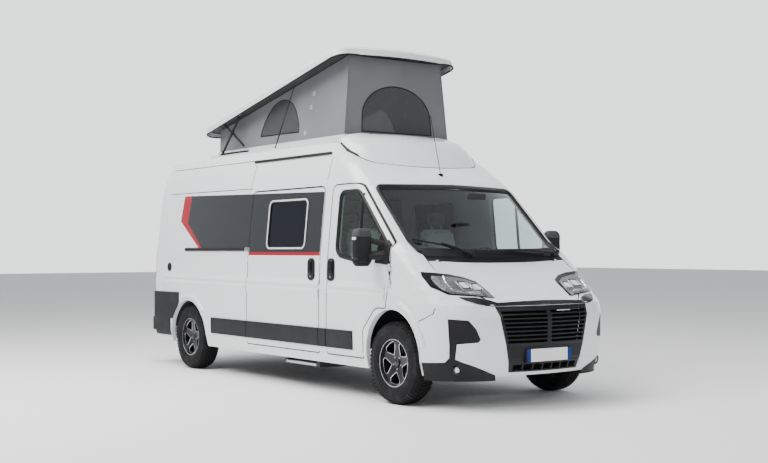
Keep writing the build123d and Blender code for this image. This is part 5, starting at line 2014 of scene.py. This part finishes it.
    def _nets(self) -> list[Object]:
        """Make the insect nets and their piping.

        Returns:
            The pieces.
        """
        made: list[Object] = []
        windows = [("front", self.front_window, self.end_wall(True))]
        windows += [(side.word, self.side_window, self.side_wall(side)) for side in Side]
        for word, outline, onto in windows:
            points, faces, _ = plan_faces(spaced(outline, 0.05), [], 0.06)
            made.append(piece(f"net_{word}", [onto(u, v)[0] for u, v in points], faces, NET, fix=False))
            made.append(moulding(f"net_piping_{word}", outline, bead(0.014, 0.004, 0.003), onto, SEAL_AND_GAP_SHADE,
                                 gap=0.04))
        return made

    def _seams(self) -> list[Object]:
        """Make the corner seams and the sewn patches.

        Returns:
            The pieces.
        """
        bag = MeshBag()
        patches = []
        for side in Side:
            s = side.value
            for (low, high), top_half, top in ((self.front, self.top_half_front, self.top_front),
                                               (self.rear, self.top_half_rear, self.top_rear)):
                bag.tube([(s * self.half, low, self.base + 0.004), (s * top_half, high, top - 0.004)], 0.0055,
                         8)
            for number, (y, z) in enumerate(self.patches):
                square = [corner[:2] for corner in box_corners(y, z, *self.patch, 0.0)]
                patches.append(pad(f"canvas_patch_{side.word}_{number}", square, 0.0025, self.side_wall(side),
                                   CANVAS_PALE, sink=0.001))
        return [bag.make("canvas_corner_seams", CANVAS_DARK), *patches]

    def _rim_path(self, inset: float, z: float) -> list[Vector]:
        """Line round the shell's rim.

        Args:
            inset: Distance inside its edge.
            z: Height on the shut shell.

        Returns:
            The line's points in the raised place.
        """
        (front, rear), turn = (half - inset for half in self.rim_half), math.radians(self.tilt)
        y0, y1, bend = self.rim_ends[0] + inset, self.rim_ends[1] - inset, self.rim_round
        plan = rounded([(-front, y0, bend), (0.0, y0 - self.rim_bow, 3.0), (front, y0, bend),
                        (rear, y1, bend), (-rear, y1, bend)], steps=8)
        points = []
        for x, y in spaced(plan, 0.12):
            dy, dz = y - self.shut_at[0], z - self.shut_at[1]
            points.append(Vector((x, self.raised_at[0] + dy * math.cos(turn) - dz * math.sin(turn),
                                  self.raised_at[1] + dy * math.sin(turn) + dz * math.cos(turn))))
        return points

    def _shell_trim(self) -> None:
        """Make the rubber round the shell's rim and the board inside it."""
        rubber = MeshBag()
        rubber.tube(self._rim_path(*self.seal_line), self.seal_radius, 10, closed=True)
        rubber.make("shell_seal", SEAL_AND_GAP_SHADE, "roof_shell")
        upper, lower = (self._rim_path(self.lining_inset, z) for z in self.lining_heights)
        piece("shell_lining", upper + lower, band_faces(2, len(upper)), TRIM_GREY, "roof_shell", smooth=None)

    def _stays(self) -> None:
        """Make the tension cords of the shell, each a sleeve at the foot, then a thinner cord."""
        cords = MeshBag()
        for side in Side:
            foot, head = (Vector((side.value * x, y, z)) for x, y, z in (self.stay_foot, self.stay_head))
            middle, half_pin = foot.lerp(head, self.stay_sleeve), Vector((0, self.stay_pin, 0.0))
            drop, (sleeve, cord, pin) = Vector((0, 0, self.stay_drop)), self.stay_radii
            cords.tube([foot, middle], sleeve, 8)
            cords.tube([middle, head], cord, 8)
            cords.tube([foot - half_pin - drop, foot + half_pin - drop], pin, 8)
        made = cords.make("shell_stay_cords", SEAL_AND_GAP_SHADE)
        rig.squash(made, "roof_lift", axis=(0, 0, 1), anchor=(0, 0, self.stay_anchor), keep=self.stay_folded)


@dataclass
class SideTrim:
    """Painted shade along the panel seams, handles, locks, arch lips, swage lines and mirrors, mostly as (y, z) on the
    side.
    """

    skin: Skin
    seam_width: float = 0.011
    cab_door: Corners = (
        (-0.985, 0.378, 0.02), (-0.985, 2.002, 0.07), (-1.440, 2.002, 0.16), (-2.018, 1.440, 0.04),
        (-2.018, 1.180, 0.06), (-1.962, 0.850, 0.015), (-1.800, 0.850, 0.13), (-1.604, 0.640, 0.06),
        (-1.604, 0.378, 0.015))
    sliding_door: Corners = (
        (-0.850, 0.378, 0.02), (-0.850, 1.992, 0.06), (0.585, 1.992, 0.06), (0.585, 0.378, 0.02))
    # Seen from above, as (x, y, radius).
    bonnet: Corners = ((0.822, -2.316, 0.0), (0.822, -2.519, 0.06), (0.560, -2.790, 0.0))
    # Seen from behind, as (x, z, radius).
    rear_door: Corners = (
        (0.0, 0.575, 0.0), (0.9, 0.575, 0.03), (0.9, 1.350, 0.3), (0.808, 2.090, 0.1), (0.750, 2.210, 0.06),
        (0.0, 2.210, 0.0))
    panel_lines: tuple[Line, ...] = (
        ((-0.860, 2.01), (-0.872, 2.325)), ((-1.262, 2.02), (-1.257, 2.11)), ((0.640, 2.01), (0.640, 2.325)),
        ((-0.80, 2.338), (2.70, 2.338)), ((0.62, 2.030), (2.62, 2.045)), ((-0.78, 1.998), (0.53, 1.998)),
        ((-2.628, 0.951), (-2.597, 0.825), (-2.500, 0.778), (-2.443, 0.755)))
    # The roof cap's edge is sought from this Y outwards: angles, nearest and farthest reach, and inset.
    cap_centre: float = -1.0
    cap_turns: range = range(169, 372, 4)
    cap_reach: Vec2 = (0.1, 1.4)
    cap_inset: float = 0.008
    swage: Line = (
        (0.070, -0.002), (0.070, 0.0), (0.040, 0.009), (0.012, 0.016), (-0.008, 0.001), (-0.018, 0.001),
        (-0.042, 0.016), (-0.080, 0.010), (-0.130, 0.0), (-0.130, -0.002))
    swage_lines: tuple[tuple[Vec2, Vec2], ...] = (
        ((-1.95, 1.010), (-1.01, 1.018)), ((-0.84, 1.020), (0.575, 1.030)), ((0.60, 1.030), (2.60, 1.045)))
    # Handles: where they sit, half sizes and corner radius of cup and lever, the lever's offset, and the
    # lock's drop and radius.
    cab_handle: float = -1.055
    sliding_handle: float = -0.700
    handle_height: float = 1.185
    handle_cup: Corner = (0.060, 0.108, 0.050)
    handle_lever: Corner = (0.030, 0.070, 0.022)
    lever_offset: Vec2 = (0.012, 0.024)
    lock: Vec2 = (0.070, 0.013)
    # Y, Z and radius of each wheel arch.
    front_arch: Corner = (-2.051, 0.445, 0.398)
    rear_arch: Corner = (1.984, 0.340, 0.450)
    valance: Line = ((2.440, 0.362), (2.900, 0.362), (2.940, 0.570), (2.500, 0.570))
    socket: Vec2 = (2.495, 1.174)
    socket_radii: Vec2 = (0.052, 0.032)
    socket_flap: Line = ((2.47, 1.055), (2.53, 1.055))
    rail: Line = ((0.600, 1.380), (2.085, 1.380))
    rail_end: Line = ((0.592, 1.380), (0.650, 1.380))
    mirror: Vec2 = (1.165, -1.795)
    mirror_foot: Line = (
        (-2.004, 1.238), (-2.004, 1.418), (-1.950, 1.462), (-1.800, 1.318), (-1.790, 1.255))
    # Height, width and depth of each level of the mirror's cap and of its lower lip.
    mirror_cap: Corners = (
        (1.492, 0.176, 0.098), (1.494, 0.184, 0.106), (1.505, 0.184, 0.106), (1.530, 0.172, 0.098),
        (1.548, 0.154, 0.084), (1.560, 0.126, 0.064), (1.567, 0.084, 0.040))
    mirror_lip: Corners = (
        (1.262, 0.170, 0.088), (1.266, 0.186, 0.102), (1.290, 0.187, 0.102), (1.298, 0.176, 0.092))
    mirror_arms: tuple[tuple[Corners, float], ...] = (
        (((0.990, -1.930, 1.325), (1.045, -1.880, 1.318), (1.110, -1.805, 1.312)), 0.033),
        (((0.985, -1.915, 1.425), (1.040, -1.870, 1.440), (1.110, -1.805, 1.466)), 0.026))
    # Half sizes and corner radius of the glass, how far behind the mirror's middle it is, and its height.
    mirror_glass: Corner = (0.074, 0.092, 0.02)
    glass_behind: float = 0.0485
    glass_height: float = 1.385
    # Lowest and highest corner of the indicator, X and Y from the mirror's middle.
    indicator: tuple[Corner, Corner] = ((0.080, -0.030, 1.462), (0.0935, 0.022, 1.488))

    def build(self) -> None:
        """Make the side trim."""
        top, back = self.skin.top(), self.skin.end(False)
        for side in Side:
            onto, word = self.skin.side(side), side.word
            # The dark strips along the door, bonnet, roof and panel gaps are painted shade.
            self._seam(f"cab_door_seam_{word}", rounded(self.cab_door), onto, self.seam_width, True)
            if side is Side.RIGHT:
                self._seam("sliding_door_seam", rounded(self.sliding_door), onto, self.seam_width, True)
            for number, line in enumerate(self.panel_lines):
                self._seam(f"panel_seam_{word}_{number}", line, onto, 0.008)
            self._arches(side, onto)
            self._swage(side, onto)
            self._handles(side, onto)
            self._mirror(side)
            bonnet, door = mirrored(self.bonnet, side), mirrored(self.rear_door, side)
            self._seam(f"bonnet_seam_{word}", rounded(bonnet, closed=False), top, 0.007)
            self._seam(f"rear_door_seam_{word}", rounded(door, closed=False)[1:-1], back, 0.007)
        self._seam("cap_seam", self._cap_edge(), top, 0.009)
        self._socket_and_rail(self.skin.side(Side.RIGHT))

    def _cap_edge(self) -> list[Vec2]:
        """Outline of the roof cap's foot, in plan.

        Returns:
            Points from its right rear, round the front, to its left rear.
        """
        cap = Skin(("fairing",)).top()
        line: list[Vec2] = []
        for degrees in self.cap_turns:
            way = (math.cos(math.radians(degrees)), math.sin(math.radians(degrees)))
            low, high = self.cap_reach
            for _ in range(12):
                middle = (low + high) / 2
                try:
                    cap(way[0] * middle, way[1] * middle + self.cap_centre)
                    low = middle
                except ValueError:
                    high = middle
            reach = low - self.cap_inset
            line.append((way[0] * reach, way[1] * reach + self.cap_centre))
        return line

    @staticmethod
    def _seam(name: str, line: Sequence[Vec2], onto: Project, width: float, closed: bool = False) -> None:
        """Dark strip laid over a panel gap in the seal finish: painted shade of the gap.

        Args:
            name: The piece's name.
            line: The gap's line.
            onto: The surface it lies in.
            width: Its width.
            closed: Whether the line closes.
        """
        half = width / 2
        moulding(name, line, [(-half, -0.004), (-half, 0.0005), (half, 0.0005), (half, -0.004)], onto, SEAL_AND_GAP_SHADE,
                 closed=closed)

    def _arches(self, side: Side, onto: Project) -> None:
        """Lips round the wheel arches and the fuller flares beside them.

        Args:
            side: Which side.
            onto: Mapping onto it.
        """
        lip = bead(0.016, 0.008)
        for name, (y, z, r), beyond, start, end, steps, section in (
                ("front_arch_lip", self.front_arch, 0.009, 27, 172, 40, lip),
                ("front_arch_flare", self.front_arch, 0.062, 103, 168, 24, bead(0.056, 0.021, steps=9)),
                ("rear_arch_lip", self.rear_arch, 0.010, 58, 142, 32, lip),
                ("rear_arch_flare", self.rear_arch, 0.055, 68, 138, 32, bead(0.056, 0.018, steps=9))):
            moulding(f"{name}_{side.word}", arc_points((y, z), r + beyond, start, end, steps), section, onto,
                     WHITE, closed=False, gap=0.04)

    def _swage(self, side: Side, onto: Project) -> None:
        """Raised lines pressed into the doors and panels.

        Args:
            side: Which side.
            onto: Mapping onto it.
        """
        for number, line in enumerate(self.swage_lines):
            body = VAN if number else f"cab_door_{side.word}"
            moulding(f"swage_{side.word}_{number}", line, self.swage, onto, WHITE, body, closed=False,
                     gap=0.06)

    def _handles(self, side: Side, onto: Project) -> None:
        """Door handles in their cups, the locks and the corner behind the rear wheel.

        Args:
            side: Which side.
            onto: Mapping onto it.
        """
        places = [("cab", self.cab_handle, f"cab_door_{side.word}", -1)]
        if side is Side.RIGHT:
            places.append(("sliding", self.sliding_handle, VAN, 1))
        z, (shift, rise), (drop, radius) = self.handle_height, self.lever_offset, self.lock
        for door, y, body, way in places:
            word = f"{door}_{side.word}"
            pad(f"handle_cup_{word}", box_outline(y, z, *self.handle_cup), 0.013, onto, TRIM_BLACK, body,
                edge=0.002, gap=0.03)
            pad(f"handle_lever_{word}", box_outline(y + way * shift, z + rise, *self.handle_lever), 0.027,
                onto, GLOSS, body, edge=0.006, gap=0.03)
            pad(f"handle_lock_{word}", arc_points((y, z - drop), radius, 0, 340, 17), 0.016, onto, STEEL,
                body, edge=0.001)
        pad(f"rear_valance_{side.word}", self.valance, 0.012, onto, TRIM_BLACK, edge=0.003, gap=0.08)

    def _socket_and_rail(self, onto: Project) -> None:
        """Round outer socket and the sliding door's rail, on the right.

        Args:
            onto: Mapping onto the right side.
        """
        cover, cap = self.socket_radii
        pad("socket_cover", arc_points(self.socket, cover, 0, 350, 35), 0.008, onto, TRIM_BLACK, edge=0.002)
        pad("socket_cap", arc_points(self.socket, cap, 0, 345, 23), 0.013, onto, GLOSS, edge=0.002)
        moulding("socket_flap_line", self.socket_flap, bead(0.008, 0.002), onto, SEAL_AND_GAP_SHADE, closed=False)
        moulding("slide_rail_cover", self.rail, bead(0.046, 0.013, steps=7), onto, GLOSS, closed=False,
                 gap=0.2)
        moulding("slide_rail_end", self.rail_end, bead(0.050, 0.017), onto, ALUMINIUM, closed=False)

    def _mirror(self, side: Side) -> None:
        """Domed cap, lower lip, foot, arms, glass and side indicator of a door mirror.

        Args:
            side: Which side.
        """
        s, word, body = side.value, side.word, f"cab_door_{side.word}"
        x, y = self.mirror
        for name, levels, finish in (("cap", self.mirror_cap, TRIM_GREY),
                                     ("lip", self.mirror_lip, TRIM_BLACK)):
            rings = [[(s * x + u, y + v, z) for u, v in box_outline(0.0, 0.0, width / 2, depth / 2,
                                                                    depth * 0.42)]
                     for z, width, depth in levels]
            piece(f"mirror_{name}_{word}", [p for ring in rings for p in ring],
                  band_faces(len(rings), len(rings[0])), finish, body)
        pad(f"mirror_foot_{word}", self.mirror_foot, 0.016, self.skin.side(side), TRIM_BLACK, body,
            edge=0.004, gap=0.04)
        arms = MeshBag()
        for path, radius in self.mirror_arms:
            arms.tube(mirrored(path, side), radius, 14)
        arms.make(f"mirror_arms_{word}", TRIM_BLACK, body)
        plane = flat((s * x, y + self.glass_behind, self.glass_height), (-1, 0, 0), (0, 0, 1))
        pad(f"mirror_glass_{word}", box_outline(0.0, 0.0, *self.mirror_glass), 0.003, plane, MIRROR_GLASS,
            body, edge=0.001)
        lens = MeshBag()
        (x0, y0, z0), (x1, y1, z1) = self.indicator
        near, far = sorted((s * (x + x0), s * (x + x1)))
        lens.block((near, y + y0, z0), (far, y + y1, z1))
        bevelled(lens.make(f"mirror_indicator_{word}", CLEAR_LENS, body), 0.004)


@dataclass
class Rear:
    """Tail lamps, handle, hinges, brake lamp, plates and the painted shade of the doors' meeting gap, as (x, z) seen
    from behind.
    """

    skin: Skin
    lamps: tuple[tuple[str, float, float, Finish], ...] = (
        ("reversing", 0.905, 0.985, CLEAR_LENS), ("amber", 1.150, 1.250, AMBER_LENS))
    lamp_edges: Vec2 = (0.935, 0.994)
    hinge_heights: tuple[float, ...] = (0.760, 1.240, 1.860)
    hinge_at: float = 0.838
    hinge: Corner = (0.055, 0.030, 0.010)
    swage: Line = ((0.06, 1.075), (0.80, 1.075))
    # Name, centre, half sizes and radius, height, finish, body, edge and spacing of each plate.
    plates: tuple[tuple[str, tuple[float, ...], float, Finish, str, float, float], ...] = (
        ("rear_handle_cup", (-0.105, 1.015, 0.085, 0.036, 0.02), 0.004, TRIM_BLACK, "rear_door_right", 0.001,
         0.06),
        ("rear_handle_lever", (-0.105, 1.020, 0.068, 0.016, 0.012), 0.020, GLOSS, "rear_door_right", 0.005,
         0.06),
        ("rear_plate_recess", (-0.440, 0.800, 0.290, 0.078, 0.02), 0.003, TRIM_BLACK, "rear_door_right",
         0.001, 0.06),
        ("rear_plate", (-0.440, 0.795, 0.260, 0.055, 0.004), 0.006, PLATE_WHITE, "rear_door_right", 0.0,
         0.06),
        ("high_brake_lamp", (0.0, 2.262, 0.150, 0.017, 0.01), 0.008, RED_LENS, VAN, 0.002, 0.06),
        ("rear_bumper_lip", (0.0, 0.386, 0.900, 0.027, 0.01), 0.006, TRIM_BLACK, VAN, 0.002, 0.08))
    meeting: tuple[Vec2, Vec2] = ((0.0, 0.585), (0.0, 2.20))
    meeting_section: Line = ((-0.007, 0.0002), (-0.007, 0.0025), (0.007, 0.0025), (0.007, 0.0002))

    def build(self) -> None:
        """Make the rear fittings."""
        back = self.skin.end(False)
        inner, outer = self.lamp_edges
        for side in Side:
            word = side.word
            door = f"rear_door_{word}"
            for name, z0, z1, finish in self.lamps:
                corners = [(u, v, 0.012) for u, v in ((inner, z0), (outer, z0), (outer, z1), (inner, z1))]
                pad(f"tail_{name}_{word}", rounded(mirrored(corners, side)), 0.003, back, finish, edge=0.001,
                    gap=0.03)
            for number, z in enumerate(self.hinge_heights):
                hinge = rounded(mirrored(box_corners(self.hinge_at, z, *self.hinge), side))
                pad(f"rear_hinge_{word}_{number}", hinge, 0.014, back, TRIM_BLACK, door, edge=0.004, gap=0.04)
            moulding(f"rear_swage_{word}", mirrored(self.swage, side), bead(0.05, 0.006, steps=9), back,
                     WHITE, door, closed=False)
        for name, box, height, finish, body, edge, gap in self.plates:
            pad(name, box_outline(*box), height, back, finish, body, edge=edge, gap=gap)
        # Dark strip down the rear doors' meeting gap: painted shade of the gap.
        moulding("rear_door_meeting_seam", self.meeting, self.meeting_section, back, SEAL_AND_GAP_SHADE, "rear_door_left",
                 closed=False)


@dataclass
class Cabin:
    """Padded seats, screen and instruments."""

    seat_x: float = 0.455
    voxel: float = 0.006
    quick_voxel: float = 0.02
    pressure: float = 4.0
    last_frame: int = 20
    cap: float = 0.016
    fill: float = 0.8
    # Name, size, Y and Z of the centre, tilt and corner radius before it swells.
    pads: tuple[tuple[str, Point, Vec2, float, float], ...] = (
        ("seat_cushion", (0.460, 0.470, 0.104), (-1.110, 1.012), 0.0, 0.05),
        ("seat_back", (0.450, 0.090, 0.590), (-0.852, 1.300), -8.0, 0.05),
        ("headrest", (0.240, 0.072, 0.150), (-0.800, 1.690), -8.0, 0.035))
    # How far apart the welts lie, as a share of the pad, and how far they stand off it.
    welt_share: float = 0.26
    welt_rise: float = 0.0105
    welt_radius: float = 0.0035
    # Ends and middle of a welt, as shares of the pad's half size.
    back_welt: Corner = (-0.86, 0.0, 0.80)
    cushion_welt: Corner = (-0.80, 0.0, 0.84)
    post_gap: float = 0.06
    post_radius: float = 0.006
    post_ends: Line = ((-0.815, 1.560), (-0.802, 1.650))
    # Lowest and highest corner of the instrument hood and the inner mirror, then of the centre screen.
    hoods: tuple[tuple[Corner, Corner], ...] = (
        ((0.285, -1.80, 1.262), (0.625, -1.655, 1.318)), ((-0.11, -2.02, 1.845), (0.11, -1.990, 1.905)))
    hood_edge: float = 0.012
    screen: tuple[Corner, Corner] = ((-0.115, -1.735, 1.235), (0.115, -1.712, 1.372))
    screen_edge: float = 0.004

    def build(self) -> None:
        """Make the cab's inside."""
        first = None
        for name, size, centre, tilt, radius in self.pads:
            swollen = self._swell(name, size, radius)
            for side in Side:
                place = (Matrix.Translation((side.value * self.seat_x, *centre))
                         @ Matrix.Rotation(math.radians(tilt), 4, "X"))
                mesh = plain_copy(swollen)
                mesh.transform(place)
                finish = SEAT_DARK if name == "headrest" else SEAT_PALE
                made = adopt(f"{name}_{side.word}", mesh, finish, smooth=60.0, fix=False)
                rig.padded(made, fill=self.fill)
                first = first or made
                if name != "headrest":
                    self._welts(name, side, size, place)
        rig.replaces(first, "cab_seats")
        self._posts()
        self._instruments()

    def _swell(self, name: str, size: Point, radius: float) -> Mesh:
        """Inflate one pad about the origin.

        Args:
            name: The pad's name.
            size: Its size before it swells.
            radius: Rounding of its corners.

        Returns:
            The pad's mesh.
        """
        bag = MeshBag()
        bag.block(tuple(-s / 2 for s in size), tuple(s / 2 for s in size))
        mesh = small(f"{name}_start", bag)
        with editing(mesh) as form:
            bmesh.ops.bevel(form, geom=form.edges[:], offset=min(radius, min(size) * 0.42), segments=4,
                            affect="EDGES")
        thing = linked(f"{name}_start", mesh)
        remesh = thing.modifiers.new("voxels", "REMESH")
        remesh.mode = "VOXEL"
        remesh.voxel_size = self.quick_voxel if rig.quick() else self.voxel
        base = evaluated(thing)
        thing.modifiers.clear()
        thing.data = base
        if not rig.quick():
            self._blow(thing)
            swollen = evaluated(thing)
            for vertex in base.vertices:
                step = swollen.vertices[vertex.index].co - vertex.co
                vertex.co += step if step.length <= self.cap else step * (self.cap / step.length)
            thing.modifiers.clear()
            bpy.data.meshes.remove(swollen)
        bpy.data.objects.remove(thing)
        bpy.context.scene.frame_set(1)
        return base

    def _blow(self, thing: Object) -> None:
        """Run the cloth that swells a pad.

        Args:
            thing: The pad.
        """
        cloth = thing.modifiers.new("cloth", "CLOTH")
        settings = cloth.settings
        settings.use_pressure = True
        settings.uniform_pressure_force = self.pressure
        settings.effector_weights.gravity = 0.0
        settings.quality = 5
        cloth.point_cache.frame_start, cloth.point_cache.frame_end = 1, self.last_frame
        for number in range(1, self.last_frame + 1):
            bpy.context.scene.frame_set(number)
            bpy.context.view_layer.update()

    def _welts(self, name: str, side: Side, size: Point, place: Matrix) -> None:
        """Two welts along the face of a pad.

        Args:
            name: The pad's name.
            side: Which seat.
            size: The pad's size.
            place: Placing applied to the pad.
        """
        half = [s / 2 for s in size]
        bag = MeshBag()
        for shift in (-self.welt_share, self.welt_share):
            if name == "seat_back":
                path = [(-half[1] - self.welt_rise, half[2] * share) for share in self.back_welt]
            else:
                path = [(half[1] * share, half[2] + self.welt_rise) for share in self.cushion_welt]
            bag.tube([place @ Vector((shift * size[0], y, z)) for y, z in path], self.welt_radius, 8)
        bag.make(f"{name}_welts_{side.word}", SEAT_DARK)

    def _posts(self) -> None:
        """Posts of the headrests."""
        bag = MeshBag()
        for side in Side:
            for shift in (-self.post_gap, self.post_gap):
                x = side.value * self.seat_x + shift
                bag.tube([(x, *end) for end in self.post_ends], self.post_radius, 10)
        bag.make("headrest_posts", STEEL)

    def _instruments(self) -> None:
        """Centre screen, instrument hood and inner mirror."""
        hood, screen = MeshBag(), MeshBag()
        for low, high in self.hoods:
            hood.block(low, high)
        screen.block(*self.screen)
        bevelled(hood.make("instrument_hood", DASH), self.hood_edge)
        bevelled(screen.make("centre_screen", GLOSS), self.screen_edge)


SKIN_NODES = ("front_bumper", "bumper_inserts", "grille", "wing_left", "wing_right", "headlamps", "bonnet",
              "scuttle", "screen_frame", "windscreen", "roof_panel", "fairing", "cab_door_left",
              "cab_door_right", "cab_glass_left", "cab_glass_right", "side_panel_left", "side_panel_right",
              "sliding_door", "side_glass", "rear_door_left", "rear_door_right", "rear_glass_left",
              "rear_glass_right", "tail_lamps")
# Half track and Y of each axle, and the height of the wheels' centres.
AXLES = {"front": (0.905, -2.051), "rear": (0.895, 1.984)}
HUB_HEIGHT = 0.368


def main() -> None:
    """Build the camper van's looks."""
    logging.basicConfig(level=logging.INFO, format="%(name)s: %(message)s")
    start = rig.bounds()
    skin = Skin(SKIN_NODES)
    BodyFinish().build()
    Glazing(skin).build()
    FrontEnd(skin).build()
    for axle, (half_track, y) in AXLES.items():
        for side in (Side.RIGHT, Side.LEFT):
            Wheel(f"{axle}_{side.word}", (side.value * half_track, y, HUB_HEIGHT), side.value).build()
    PopTop().build()
    SideTrim(skin).build()
    Rear(skin).build()
    Cabin().build()
    Studio().build()
    with open(SIZE_FILE, "w", encoding="utf-8") as out:
        json.dump({"cad": [list(p) for p in start], "visual": [list(p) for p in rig.bounds()]}, out)


if __name__ == "__main__":
    main()
